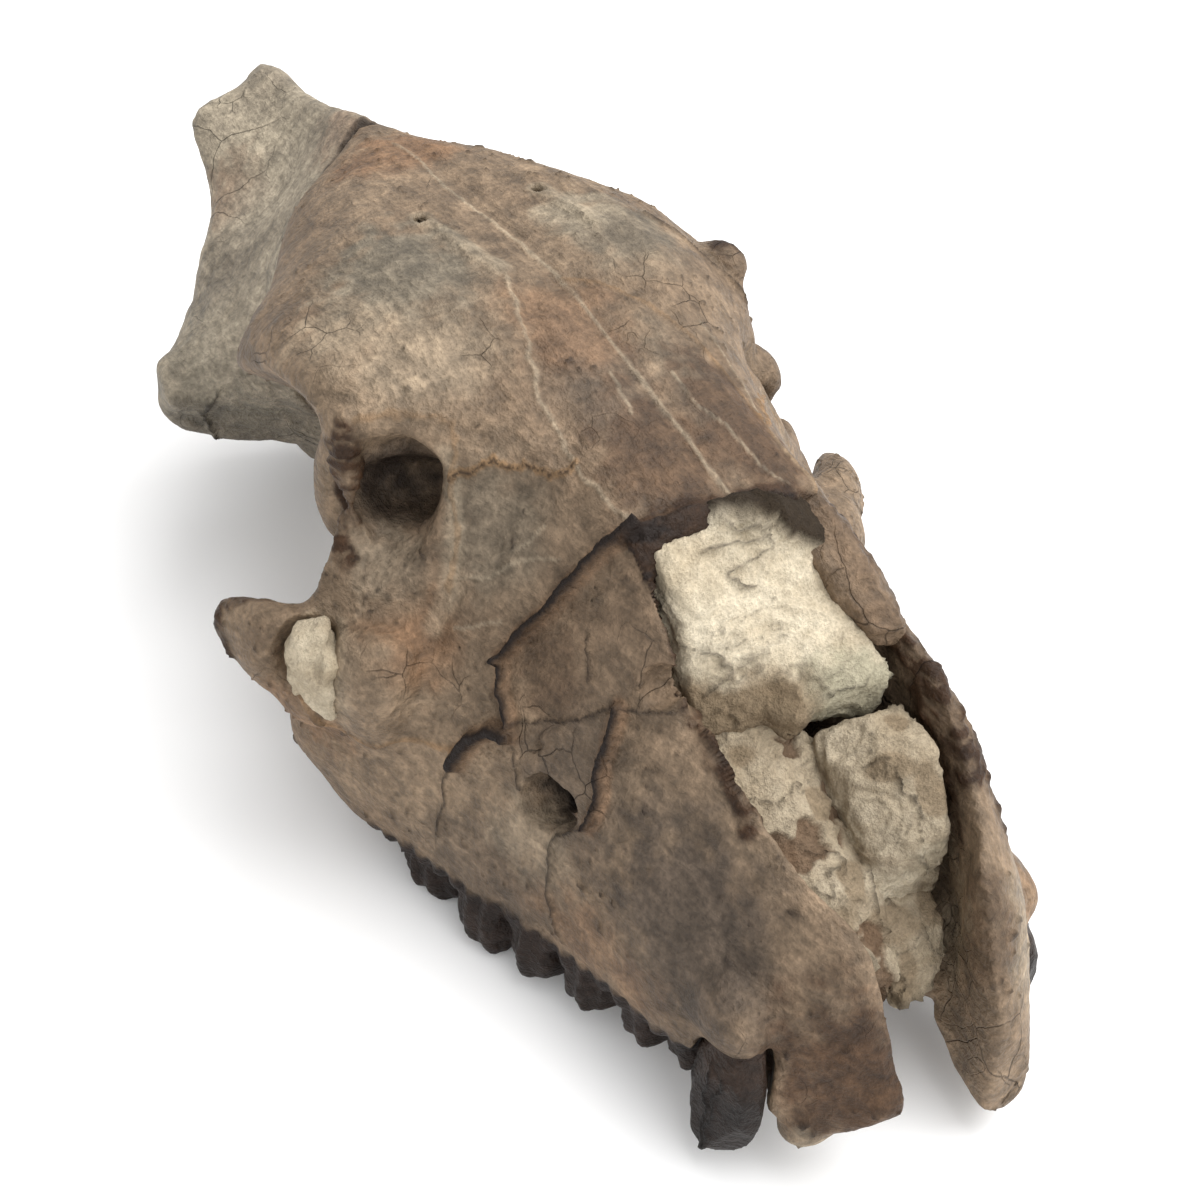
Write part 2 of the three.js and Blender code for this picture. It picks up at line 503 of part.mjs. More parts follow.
nodes.matrix_front = rock([
  [[1.4, 29.4, 20], [1.6, 29.4, 15.4], [8.8, 29, 15.4], [9, 28.6, 19.4], [5, 29, 19.6]],
  [[1, 26, 18.4], [1, 26, 13.4], [8, 25.6, 13.4], [8.4, 25, 18], [5, 25.4, 19]],
  [[1, 22.6, 12.6], [1, 23, 10.6], [5.6, 23, 10.6], [6, 22.6, 12.6], [3.4, 22.4, 13.4]],
]);
nodes.nasal_strip = rock([
  [[8.2, 57, 57], [8.6, 56.8, 54], [13.4, 56, 51.6], [15.4, 55.6, 54], [12, 56.4, 58]],
  [[9, 50, 52.6], [9.4, 49.6, 49.6], [13.8, 48.6, 47], [15.8, 48, 49], [12.8, 49, 53]],
  [[11, 43.8, 47.6], [11.4, 43.6, 45.6], [13.8, 43.2, 44.6], [15, 43, 46], [13.4, 43.4, 47.6]],
]);
nodes.matrix_patch = ball([-42.6, 86.6, 37.4], [4, 3.6, 6], [0.5, 0, 0]);

// Rock stays inside the trough, and the bones give way to the teeth and scraps seated in them.
const hollow = trough(SEAM);
const ROCKS = ["matrix_upper", "matrix_lower_right", "matrix_lower_left", "matrix_front"];
for (const name of ROCKS) nodes[name] = nodes[name].intersect(hollow);
const CLEAR = [[SEAM, 0, 0], [-SEAM, 0, 0], [0, SEAM, 0], [0, -SEAM, 0], [0, 0, SEAM], [0, 0, -SEAM]];
const swell = (body) => CLEAR.reduce((sum, way) => sum.add(body.translate(way)), body);
for (const [host, guest] of [["maxilla_left", "nasal_strip"], ["nasal_left", "nasal_strip"],
  ["frontal_left", "nasal_strip"], ["premaxilla_left", "nasal_strip"], ["jugal_right", "matrix_patch"],
  ["maxilla_right", "matrix_patch"], ["matrix_upper", "nasal_strip"], ["matrix_lower_right", "matrix_upper"],
  ["matrix_lower_left", "matrix_upper"], ["matrix_lower_left", "matrix_lower_right"],
  ["matrix_front", "matrix_lower_right"], ["matrix_front", "matrix_lower_left"]])
  nodes[host] = nodes[host].subtract(swell(nodes[guest]));
for (const side of ["right", "left"])
  for (const bone of ["maxilla_", "premaxilla_"])
    nodes[bone + side] = nodes[bone + side].subtract(side === "right" ? socketRight : socketLeft);

const BONE = { color: 0x8b7765, roughness: 0.62, metalness: 0 };
const BRAINCASE = { color: 0x8d8378, roughness: 0.55, metalness: 0 };
const TOOTH = { color: 0x453a35, roughness: 0.4, metalness: 0 };
const ROCK = { color: 0xb4a993, roughness: 0.95, metalness: 0 };
const finishOf = (name) => {
  if (name.startsWith("matrix")) return ROCK;
  if (name.startsWith("canine")) return TOOTH;
  if (["braincase", "occipital", "temporal_right", "temporal_left"].includes(name)) return BRAINCASE;
  return BONE;
};

// Each node keeps its largest closed body, tipped to the level it stands on and centred on its footprint.
const largest = (body) => body.simplify(FINEST).decompose().sort((a, b) => b.volume() - a.volume())[0];
const tip = new THREE.Matrix4().makeRotationX(-Math.atan(REST_SLOPE));
const group = new THREE.Group();
const box = new THREE.Box3();
for (const [name, body] of Object.entries(nodes)) {
  const mesh = largest(body).getMesh();
  const geometry = new THREE.BufferGeometry();
  geometry.setAttribute("position", new THREE.Float32BufferAttribute(mesh.vertProperties, 3));
  geometry.setIndex(new THREE.BufferAttribute(new Uint32Array(mesh.triVerts), 1));
  geometry.applyMatrix4(tip);
  geometry.computeBoundingBox();
  box.union(geometry.boundingBox);
  const made = new THREE.Mesh(geometry, new THREE.MeshStandardMaterial(finishOf(name)));
  made.name = name;
  group.add(made);
}
const centre = box.getCenter(new THREE.Vector3());
for (const mesh of group.children) mesh.geometry.translate(-centre.x, -centre.y, -box.min.z);

export default group;
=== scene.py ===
import math

import bpy
import numpy as np
import openvdb as vdb
from mathutils import Matrix, Vector


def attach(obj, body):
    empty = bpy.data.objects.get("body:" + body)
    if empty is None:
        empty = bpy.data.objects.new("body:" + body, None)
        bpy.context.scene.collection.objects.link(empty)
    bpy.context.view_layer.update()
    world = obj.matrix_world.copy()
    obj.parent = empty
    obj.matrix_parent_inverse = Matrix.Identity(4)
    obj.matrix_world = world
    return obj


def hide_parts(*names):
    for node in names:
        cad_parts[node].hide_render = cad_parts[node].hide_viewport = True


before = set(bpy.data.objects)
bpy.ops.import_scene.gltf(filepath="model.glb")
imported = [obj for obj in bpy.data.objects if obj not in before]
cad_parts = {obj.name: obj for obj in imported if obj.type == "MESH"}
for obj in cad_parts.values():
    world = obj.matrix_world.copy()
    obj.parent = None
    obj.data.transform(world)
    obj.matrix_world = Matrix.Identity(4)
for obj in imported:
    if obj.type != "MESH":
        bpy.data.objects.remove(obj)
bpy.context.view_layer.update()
bpy.context.scene.view_settings.view_transform = "Standard"

# The skull's own axes.
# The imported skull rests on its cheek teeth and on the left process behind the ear, so it is tipped a little.
# Every place below is in millimetres on the skull as it is drawn: snout towards -Y, crown up, right side -X.

TIP = math.atan(8.5 / 110)
DRAWN_ORIGIN = np.array([-0.49, 111.75, -6.01])
LEVEL = np.array([
    [1, 0, 0],
    [0, math.cos(TIP), -math.sin(TIP)],
    [0, math.sin(TIP), math.cos(TIP)],
])


def on_skull(places):
    """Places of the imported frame, in metres, as places on the drawn skull, in millimetres."""
    return (np.asarray(places) * 1000 + DRAWN_ORIGIN) @ LEVEL.T


def in_frame(places):
    """Places on the drawn skull, in millimetres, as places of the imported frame, in metres."""
    return (np.asarray(places) @ LEVEL - DRAWN_ORIGIN) / 1000


# The bones of the face and forehead.
# Frontals, nasals, tear bones, cheek bones, upper jaws and snout tips, turned to stone in the ground.
# They are one brittle shell now: the seams between them are knitted, and later cracks cross them freely.

FACE_NODES = ["sphenoid", "frontal_right", "frontal_left", "nasal_right", "nasal_left",
              "lacrimal_right", "lacrimal_left", "jugal_right", "jugal_left",
              "maxilla_right", "maxilla_left", "premaxilla_right", "premaxilla_left"]
FINE_MM = 0.4
SEAM_FILL_MM = 0.24
SOFTEN_MM = 1.3
KEEP_EDGE_MM = 0.45
JOINT_MM = 2
LINE_DEPTH_MM = 3.5
FAR_MM = 99.0
MID_HEIGHT_MM = 35
BAND_CELLS = 9


def node_surface(name):
    """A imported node's corners, on the drawn skull in millimetres, and its triangles."""
    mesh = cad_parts[name].data
    mesh.calc_loop_triangles()
    corners = np.empty(len(mesh.vertices) * 3, np.float32)
    mesh.vertices.foreach_get("co", corners)
    triangles = np.empty(len(mesh.loop_triangles) * 3, np.int32)
    mesh.loop_triangles.foreach_get("vertices", triangles)
    return on_skull(corners.reshape(-1, 3)), triangles.reshape(-1, 3)


def solid_field(names, step):
    """How far each cell of a grid is outside the named nodes taken together, in millimetres."""
    surfaces = [node_surface(name) for name in names]
    margin = BAND_CELLS * step + 2
    lowest = np.min([points.min(0) for points, _ in surfaces], axis=0)
    highest = np.max([points.max(0) for points, _ in surfaces], axis=0)
    low = np.floor(lowest / step - margin / step).astype(int)
    high = np.ceil(highest / step + margin / step).astype(int)
    field = np.full(high - low, BAND_CELLS * step, np.float32)
    for points, triangles in surfaces:
        grid = vdb.FloatGrid.createLevelSetFromPolygons(
            points.astype(np.float32),
            triangles=triangles.astype(np.uint32),
            transform=vdb.createLinearTransform(voxelSize=step),
            halfWidth=BAND_CELLS,
        )
        first = np.floor(points.min(0) / step).astype(int) - BAND_CELLS - 1
        last = np.ceil(points.max(0) / step).astype(int) + BAND_CELLS + 2
        near = np.empty(last - first, np.float32)
        grid.copyToArray(near, ijk=tuple(int(i) for i in first))
        cut = tuple(slice(a - b, c - b) for a, b, c in zip(first, low, last))
        field[cut] = np.minimum(field[cut], near)
    return field, low


def softened(field, cells):
    """The field averaged over a few cells each way, twice."""
    for _ in range(2):
        for axis in range(3):
            size = field.shape[axis]
            inner = [slice(None)] * 3
            inner[axis] = slice(cells, size - cells)
            total = np.zeros_like(field[tuple(inner)])
            for shift in range(2 * cells + 1):
                moved = [slice(None)] * 3
                moved[axis] = slice(shift, size - 2 * cells + shift)
                total += field[tuple(moved)]
            field = field.copy()
            field[tuple(inner)] = total / (2 * cells + 1)
    return field


def one_solid(names, step=FINE_MM, soften=SOFTEN_MM, sharp_below=None):
    """The named nodes as one field, seams closed and facets rounded, but not the teeth below a height."""
    field, low = solid_field(names, step)
    closed = softened(field - SEAM_FILL_MM, 1) + SEAM_FILL_MM
    change = np.clip(softened(closed, max(1, round(soften / step))) - closed, -KEEP_EDGE_MM, KEEP_EDGE_MM)
    if sharp_below is not None:
        heights = (low[2] + np.arange(field.shape[2])) * step
        change *= np.clip((heights - sharp_below) / 4, 0.15, 1).astype(np.float32)
    return closed + change, low


def block_round(field, low, centre, reach, step):
    """The cells of a field within reach of a place, and how far each lies from it along the three axes."""
    first = np.maximum(np.floor((np.array(centre) - reach) / step).astype(int) - low, 0)
    last = np.minimum(np.ceil((np.array(centre) + reach) / step).astype(int) - low, field.shape)
    cut = tuple(slice(a, b) for a, b in zip(first, last))
    along = [(np.arange(a, b) + c) * step - d for a, b, c, d in zip(first, last, low, centre)]
    return cut, np.meshgrid(*along, indexing="ij")


def hollow_out(field, low, centre, radii, rim=0.3):
    """Cuts an egg-shaped hollow into a field, with its rim rounded by that many millimetres."""
    cut, apart = block_round(field, low, centre, max(radii) + 1 + rim, FINE_MM)
    egg = (1 - np.sqrt(sum((a / r) ** 2 for a, r in zip(apart, radii)))) * min(radii)
    share = np.clip(0.5 + 0.5 * (egg - field[cut]) / rim, 0, 1)
    field[cut] = field[cut] * (1 - share) + egg * share + rim * share * (1 - share)


def build_up(field, low, centre, radii):
    """Adds an egg-shaped lump to a field, with a soft joint."""
    cut, apart = block_round(field, low, centre, max(radii) + JOINT_MM, FINE_MM)
    egg = (np.sqrt(sum((a / r) ** 2 for a, r in zip(apart, radii))) - 1) * min(radii)
    share = np.clip(0.5 + 0.5 * (field[cut] - egg) / JOINT_MM, 0, 1)
    field[cut] = field[cut] * (1 - share) + egg * share - JOINT_MM * share * (1 - share)


def melt(field, low, centre, reach, cells):
    """Rounds a field off strongly near a place, fading out towards reach."""
    cut, apart = block_round(field, low, centre, reach, FINE_MM)
    far = np.sqrt(sum(a * a for a in apart)) / reach
    share = np.clip(2 - 2 * far, 0, 1).astype(np.float32)
    field[cut] += share * (softened(field[cut], cells) - field[cut])


def largest_shell(points, quads):
    """The biggest connected surface of a mesh, without the scraps and sealed pockets."""
    label = np.arange(len(points))
    ends = np.concatenate([quads[:, [0, 1]], quads[:, [1, 2]], quads[:, [2, 3]], quads[:, [3, 0]]])
    while True:
        lowest = np.minimum(label[ends[:, 0]], label[ends[:, 1]])
        new = label.copy()
        np.minimum.at(new, ends[:, 0], lowest)
        np.minimum.at(new, ends[:, 1], lowest)
        new = new[new]
        if np.array_equal(new, label):
            break
        label = new
    names, counts = np.unique(label, return_counts=True)
    kept = label == names[counts.argmax()]
    index = np.cumsum(kept) - 1
    return points[kept], index[quads[kept[quads[:, 0]]]]


def surface_of(field, low, step=FINE_MM):
    """The skin of a field as points and four-sided faces."""
    grid = vdb.FloatGrid(float(BAND_CELLS * step))
    grid.copyFromArray(np.ascontiguousarray(field, np.float32), ijk=tuple(int(i) for i in low))
    grid.transform = vdb.createLinearTransform(voxelSize=step)
    points, quads = grid.convertToQuads(isovalue=0.0)
    return largest_shell(np.asarray(points, float), np.asarray(quads, np.int64)[:, ::-1])


def outward(points, quads):
    """The surface's direction at each point."""
    first_diagonal = points[quads[:, 2]] - points[quads[:, 0]]
    second_diagonal = points[quads[:, 3]] - points[quads[:, 1]]
    across = np.cross(first_diagonal, second_diagonal)
    normal = np.zeros_like(points)
    for corner in range(4):
        for axis in range(3):
            normal[:, axis] += np.bincount(quads[:, corner], across[:, axis], len(points))
    return normal / np.maximum(np.linalg.norm(normal, axis=1), 1e-9)[:, None]


# Large odd numbers that turn a cell's place into a number that looks random but is always the same.
CELL_STEPS = (73856093, 19349663, 83492791)
CELL_SPREAD = 2654435761
CELL_MIX = 40503
CELL_MASK = 0xFFFFFF
SEED_SHIFT = 7.31
SEED_STEP = 97


def lumps(points, size, seed=0):
    """Smooth lumps of about that size, from 0 to 1."""
    cell = points / size + seed * SEED_SHIFT
    corner = np.floor(cell).astype(np.int64)
    share = cell - corner
    share = share * share * (3 - 2 * share)
    total = np.zeros(len(points))
    for dx, dy, dz in np.ndindex(2, 2, 2):
        mark = (corner[:, 0] + dx) * CELL_STEPS[0]
        mark = mark ^ ((corner[:, 1] + dy) * CELL_STEPS[1])
        mark = mark ^ ((corner[:, 2] + dz) * CELL_STEPS[2])
        mark = (mark * CELL_SPREAD + seed * SEED_STEP) & CELL_MASK
        mark = (mark ^ (mark >> 11)) * CELL_MIX & CELL_MASK
        weight = np.abs(1 - dx - share[:, 0])
        weight = weight * np.abs(1 - dy - share[:, 1]) * np.abs(1 - dz - share[:, 2])
        total += weight * mark / CELL_MASK
    return total


def rough(points, size, seed=0, layers=3):
    """Lumps with finer and finer lumps on them, from about -1 to 1."""
    total = np.zeros(len(points))
    for layer in range(layers):
        total += (lumps(points, size / 2 ** layer, seed + layer) - 0.5) * 2 / 2 ** layer
    return total


def fade(value, full, none):
    """1 at full and beyond, 0 at none, and smooth between."""
    share = np.clip((value - none) / (full - none), 0, 1)
    return share * share * (3 - 2 * share)


class Shell:
    """A surface that is being carved: its points, its directions, and what is painted on it."""

    def __init__(self, field, low, step=FINE_MM):
        self.points, self.quads = surface_of(field, low, step)
        self.out = outward(self.points, self.quads)
        self.move = np.zeros(len(self.points))
        self.paint = {}
        sway = [lumps(self.points, 2.2, seed) + 0.5 * lumps(self.points, 0.9, seed + 9)
                for seed in (1, 2, 3)]
        self.wander = np.stack(sway, axis=1) - 0.75

    def to_line(self, line, wander=1.0, reach=9):
        """How far each point is from a line on the surface, in millimetres."""
        line = np.array(line, float)
        gap = np.full(len(self.points), FAR_MM)
        inside = np.all((self.points > line.min(0) - reach) & (self.points < line.max(0) + reach), axis=1)
        near = inside.nonzero()[0]
        at = self.points[near] + wander * self.wander[near]
        out = self.out[near]
        best = np.full(len(near), FAR_MM)
        for start, end in zip(line[:-1], line[1:]):
            way = end - start
            share = np.clip((at - start) @ way / (way @ way), 0, 1)
            apart = at - start - share[:, None] * way
            depth = (apart * out).sum(1)
            side = np.sqrt(np.maximum((apart * apart).sum(1) - depth * depth, 0))
            best = np.minimum(best, np.hypot(side, np.maximum(np.abs(depth) - LINE_DEPTH_MM, 0)))
        gap[near] = best
        return gap

    def to_spot(self, centre, radii, wander=1.0):
        """How far each point is from a spot's centre, as a share of its radii."""
        at = self.points + wander * self.wander
        return np.linalg.norm((at - np.array(centre)) / np.array(radii), axis=1)

    def inside(self, outline, wander=0.8, reach=8, turned=0.15):
        """How far each point is inside an outline drawn on the surface, in millimetres; below 0 outside."""
        outline = np.array(outline, float)
        centre = outline.mean(0)
        axes = np.linalg.svd(outline - centre)[2]
        mid_skull = np.array([0, centre[1], MID_HEIGHT_MM])
        facing = axes[2] * np.sign(axes[2] @ (centre - mid_skull))
        near = (np.linalg.norm(self.points - centre, axis=1)
                < reach + np.linalg.norm(outline - centre, axis=1).max()).nonzero()[0]
        near = near[self.out[near] @ facing > turned]
        flat = (self.points[near] + wander * self.wander[near] - centre) @ axes[:2].T
        corners = (outline - centre) @ axes[:2].T
        within = np.zeros(len(near), bool)
        gap = np.full(len(near), FAR_MM)
        for start, end in zip(corners, np.roll(corners, -1, axis=0)):
            way = end - start
            share = np.clip((flat - start) @ way / (way @ way), 0, 1)
            gap = np.minimum(gap, np.linalg.norm(flat - start - share[:, None] * way, axis=1))
            between = (start[1] > flat[:, 1]) != (end[1] > flat[:, 1])
            crossing = start[0] + (flat[:, 1] - start[1]) * way[0] / (way[1] or 1e-9)
            within ^= between & (flat[:, 0] < crossing)
        depth = np.full(len(self.points), -FAR_MM)
        depth[near] = np.where(within, gap, -gap)
        return depth

    def mark(self, name, amount):
        """Paints with the larger of what is there and amount."""
        self.paint[name] = np.maximum(self.paint.get(name, np.zeros(len(self.points))), amount)

    def finished(self, name):
        """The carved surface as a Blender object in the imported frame, with its paint as attributes."""
        places = in_frame(self.points + self.out * self.move[:, None])
        mesh = bpy.data.meshes.new(name)
        mesh.from_pydata(places.astype(np.float32), [], self.quads.astype(np.int32))
        mesh.polygons.foreach_set("use_smooth", np.ones(len(mesh.polygons), bool))
        for label, amount in self.paint.items():
            layer = mesh.attributes.new(label, "FLOAT", "POINT")
            layer.data.foreach_set("value", np.clip(amount, 0, 1).astype(np.float32))
        mesh.update()
        made = bpy.data.objects.new(name, mesh)
        bpy.context.scene.collection.objects.link(made)
        return made


ROOT_TOP_MM = 10
face_field, face_low = one_solid(FACE_NODES, sharp_below=ROOT_TOP_MM)

# The swellings above the last molars and the floor under the brain are rounder than the solids.
ROUNDED_OFF = [((-39, 82, 34), 13), ((39, 82, 30), 12), ((-8, 126, 22), 20), ((8, 126, 22), 20)]
for centre, reach in ROUNDED_OFF:
    melt(face_field, face_low, centre, reach, 5)

# Bone behind the hollows in front of the eyes, lips over the canines, stubs on the left brow, a scrap under
# the right tip of the snout, the thin edge of the right eye socket, and the root of the cheek bone.
GROWTHS = [
    ((-25.5, 98, 54), (9, 5, 9.5)),
    ((25.5, 97, 50), (8.5, 5, 9)),
    ((-26.5, 95, 58), (8.5, 5.5, 9)),
    ((23.5, 94, 53), (6.5, 5, 7)),
    ((-19.6, 26.6, 17), (3.2, 5.4, 4.4)),
    ((19.6, 26.6, 17), (3.2, 5.4, 4.4)),
    ((29.6, 104.5, 64), (3, 6, 4)),
    ((30.6, 95.5, 54.5), (3, 5, 3.8)),
    ((30, 104, 69), (3, 5, 2.4)),
    ((-13.5, 19.5, 3.4), (3.6, 3, 3)),
    ((-33.6, 89.2, 59), (1.4, 1.8, 7.4)),
    ((-31, 96, 52), (4.5, 4, 6.5)),
    ((-43, 88, 31), (3, 4, 4)),
]
for centre, radii in GROWTHS:
    build_up(face_field, face_low, centre, radii)

BLOOD_VESSEL_HOLES = [
    ((-9.2, 118.3, 78), (1.4, 1.8, 4)),
    ((9, 118.8, 78.6), (1.3, 1.7, 4)),
    ((-25.3, 57.6, 27.4), (6, 3.6, 3.4)),
    ((-24.4, 54.9, 27.8), (5, 2.9, 2.6)),
    ((25, 57, 26), (6, 3.4, 3.2)),
    ((-25.6, 60.5, 33.4), (2, 0.8, 0.8)),
    ((-28.6, 100, 71), (1.2, 1.2, 1.2)),
]
PIT_RIM_MM = 2.8
TEAR_PITS = [
    ((-28, 90.6, 56), (5, 4, 3)),
    ((-24.6, 89.6, 54.4), (4.4, 3.6, 3)),
    ((26, 89, 52), (4.8, 3.8, 3.2)),
]
BROKEN_CORNERS = [((-15.2, 48.4, 46), (3.4, 2.4, 2.6)), ((-13.6, 40, 44.4), (2.4, 3.4, 2.2))]
for centre, radii in BLOOD_VESSEL_HOLES + BROKEN_CORNERS:
    hollow_out(face_field, face_low, centre, radii)
for centre, radii in TEAR_PITS:
    hollow_out(face_field, face_low, centre, radii, PIT_RIM_MM)

face = Shell(face_field, face_low)
at_x, at_y, at_z = face.points.T

# A thin shelf of the upper jaw stands proud where the cracks part it from its neighbours.
CHEEK_PLATE = [(-12, 59, 60), (-9, 57, 60), (-10, 54, 55), (-12.5, 49, 51), (-13.5, 45, 45),
               (-18, 51.7, 42.4), (-21, 56, 38.5), (-25.7, 64.7, 34.4), (-25.3, 67.4, 37.6),
               (-24.4, 69, 41), (-22.4, 68, 44), (-18.3, 64.5, 50), (-14.7, 60.7, 57)]
plate = face.inside(CHEEK_PLATE)
face.move += 0.7 * fade(plate, 0.8, -0.1)
face.mark("warm", 0.55 * fade(plate, 1, 0))
PLATE_CHIP = [(-13.4, 58.6, 58.7), (-9, 57.4, 60.4), (-9.4, 55.2, 57), (-12.8, 54.6, 57)]
chip = face.inside(PLATE_CHIP, wander=0.3)
face.move -= 0.5 * fade(chip, 0.2, -0.1)
face.mark("warm", fade(chip, 0.6, 0))

# Open cracks across the right cheek, each with its width in millimetres.
DEEP_CRACKS = {
    "across the cheek": (1.0, [(-11.8, 59.1, 60.2), (-14.7, 60.7, 57), (-17.2, 63.4, 52.6),
                               (-19.6, 65.8, 48), (-22.4, 67.9, 44.1), (-24.4, 69, 41)]),
    "down from the cheek": (0.6, [(-24.4, 69, 41), (-25.5, 67.6, 37.5), (-25.8, 64.9, 34.6)]),
    "above the molars": (1.6, [(-26, 64.1, 33.2), (-27, 66.5, 33.2), (-28.5, 68.6, 31.3),
                               (-30.7, 70.3, 26.8)]),
    "in front of the cheek": (0.7, [(-18.1, 51.7, 42.1), (-20.7, 51.3, 36), (-22.2, 50, 31.6),
                                    (-23.6, 49.8, 28.5)]),
}
for wide, line in DEEP_CRACKS.values():
    gap = face.to_line(line, wander=0.7)
    face.move -= (0.9 + wide) * fade(gap, 0.25 * wide, 0.45 + 0.55 * wide)
    face.mark("crack_and_shade", fade(gap, 0.3 * wide, 0.3 + 0.6 * wide))
    face.mark("warm", 0.5 * fade(gap, 0.8, 1.8))

# Closed cracks that run on from the open ones and over the rest of the face.
FINE_CRACKS = [
    [(-25.7, 64.7, 34.4), (-23.6, 61.3, 36.1), (-21.1, 56.1, 38.5), (-18, 51.7, 42.4), (-14.6, 45, 44.3)],
    [(-26, 64.1, 33.2), (-26.5, 62.5, 30), (-27, 61.3, 27.4)],
    [(-23.7, 49.7, 28.3), (-25.9, 54.2, 24.8), (-26.6, 54.5, 22.6), (-27.4, 53.6, 17.3),
     (-27.9, 52.3, 12.8)],
    [(-31.7, 71.5, 25.1), (-32.6, 71.3, 20.7), (-33.9, 71.9, 15.1)],
    [(-19, 57, 43), (-18, 59, 47), (-15, 60, 51), (-13.6, 57, 55)],
    [(-16, 60, 53), (-14, 55, 49), (-16, 51, 45)],
    [(-20, 62, 30), (-19, 48, 24), (-21, 40, 17)],
    [(24, 66, 48), (26, 72, 40), (29, 66, 32), (31, 70, 24)],
    [(16, 60, 56), (22, 64, 48), (27, 76, 46)],
    [(20, 108, 76), (26, 100, 71), (34, 96, 62)],
]
for line in FINE_CRACKS:
    gap = face.to_line(line, wander=0.9)
    face.move -= 0.45 * fade(gap, 0.1, 0.45)
    face.mark("crack_and_shade", 0.7 * fade(gap, 0.08, 0.38))

# Old cracks that pale mineral has filled.
PALE_CRACKS = [
    [(-25.8, 76.4, 48.6), (-23.2, 73.6, 49.5), (-20.3, 71, 52.5), (-17.5, 66.3, 54)],
    [(-20.9, 72.3, 53.1), (-19.2, 70.5, 54.8), (-17.7, 69.3, 57.2)],
    [(-27.6, 75.2, 42.7), (-23.5, 70.8, 44.9)],
    [(-2.8, 79.3, 69.1), (-3.7, 72.8, 66.6)],
    [(14.3, 85.5, 69.8), (14.6, 75.5, 64.6), (12.5, 65, 61.9), (12.4, 56.7, 58.9)],
    [(4.5, 76.8, 68.3), (4.3, 71.3, 66.1), (6.1, 67.5, 64.6), (7, 61.5, 62.3), (9.3, 56.4, 58.7)],
]
for line in PALE_CRACKS:
    gap = face.to_line(line, wander=0.35)
    face.move -= 0.15 * fade(gap, 0.1, 0.4)
    face.mark("pale", 0.45 * fade(gap, 0.05, 0.32))

# Knitted seams between the bones, some filled with pale mineral and some with rust.
MIDLINE = [(-0.7, 145.5, 80.9), (-0.5, 137, 80.3), (-1.8, 126, 79.1), (-0.3, 113.1, 77.3), (0.3, 96.8, 75),
           (0.2, 82.1, 70.2), (0.6, 66.7, 64.4), (0.8, 58.6, 61.2)]
NASAL_RIGHT = [(-6.2, 99.6, 75.6), (-9.3, 89.8, 72.9), (-11.3, 82.5, 69.5), (-12.4, 79, 67.9),
               (-13.3, 70.3, 64), (-12.7, 67.3, 62.6), (-11.8, 59.1, 60.2)]
NASAL_LEFT = [(0.5, 96.8, 75), (4.5, 93.9, 74.6), (8.5, 88.3, 72.6), (11.5, 82.4, 69.5), (13.1, 75.6, 65.6),
              (12.9, 70.9, 64.1), (12.5, 57, 59)]
CHEEK_SEAM = [(-24.4, 80, 60.7), (-22.5, 78.7, 61.6), (-19.9, 77, 62.9), (-18.1, 74.3, 62),
              (-17.3, 74.2, 63.2), (-16.3, 71.5, 62), (-15.5, 70.6, 62.6), (-13.3, 70.3, 64)]
TEAR_BONE_SEAM = [(-32.6, 87.7, 67.3), (-29.5, 86, 67.5), (-26, 84, 67.1), (-23, 82, 66.2),
                  (-23.5, 80.4, 63.1), (-24.4, 80.1, 60.1), (-25.4, 78.1, 53.2), (-27.2, 77.3, 47.1)]
LEFT_CHEEK_SEAM = [(-x, y - 1, z) for x, y, z in CHEEK_SEAM]
LEFT_TEAR_SEAM = [(-x, y - 1, z - 3) for x, y, z in TEAR_BONE_SEAM]
CHEEK_BONE_SEAM = [(-45.2, 84.6, 33), (-41, 83.5, 26.5), (-33.3, 75.7, 27.7), (-30.7, 71, 27.9)]

# Each seam's waver and half width in millimetres, its filling, and how much of that shows.
SEAMS = [
    (MIDLINE, 0.35, 0.05, "pale", 0.5),
    (NASAL_RIGHT, 0.9, 0.1, "pale", 0.4),
    (NASAL_LEFT, 0.6, 0.15, "seam", 0.5),
    (CHEEK_SEAM, 1.7, 0.4, "seam", 0.85),
    (TEAR_BONE_SEAM, 1.5, 0.2, "seam", 0.45),
    (LEFT_CHEEK_SEAM, 1.7, 0.4, "seam", 0.9),
    (LEFT_TEAR_SEAM, 1.5, 0.2, "seam", 0.7),
    (CHEEK_BONE_SEAM, 1.0, 0.3, "seam", 0.6),
]
for line, wander, wide, colour, strong in SEAMS:
    gap = face.to_line(line, wander=wander)
    face.move -= (0.15 + 0.5 * wide) * fade(gap, 0.1, 0.4 + wide)
    face.mark(colour, strong * fade(gap, wide, wide + 0.35))
gap = face.to_line(CHEEK_SEAM, wander=1.9)
face.mark("crack_and_shade", 0.8 * fade(gap, 0.05, 0.3))

# The rounded ridge that bounds the hollow in front of the eye.
EYE_RIDGE = [(-24.6, 81, 63), (-24.4, 80.1, 60.1), (-25.4, 78.1, 53.2), (-27.2, 77.3, 47.1), (-29, 78, 42)]
for mirror in (1, -1):
    gap = face.to_line([(x * mirror, y, z) for x, y, z in EYE_RIDGE], wander=0.5)
    face.move += 0.6 * fade(gap, 0.4, 3)
    face.mark("pale", 0.35 * fade(gap, 0.4, 2.2))

# Furrows that run forward from the holes in the forehead, paler than the bone.
FURROWS = [[(-9.2, 118.3, 78.4), (-8.2, 111.3, 77.4), (-6.1, 101.1, 75.8)],
           [(9, 118.8, 79.1), (10.4, 112.1, 78.2), (11.5, 105.8, 77.4)]]
for line in FURROWS:
    gap = face.to_line(line, wander=0.5)
    face.move -= 0.55 * fade(gap, 0.3, 2.2)
    face.mark("pale", 0.45 * fade(gap, 0.4, 2.4))

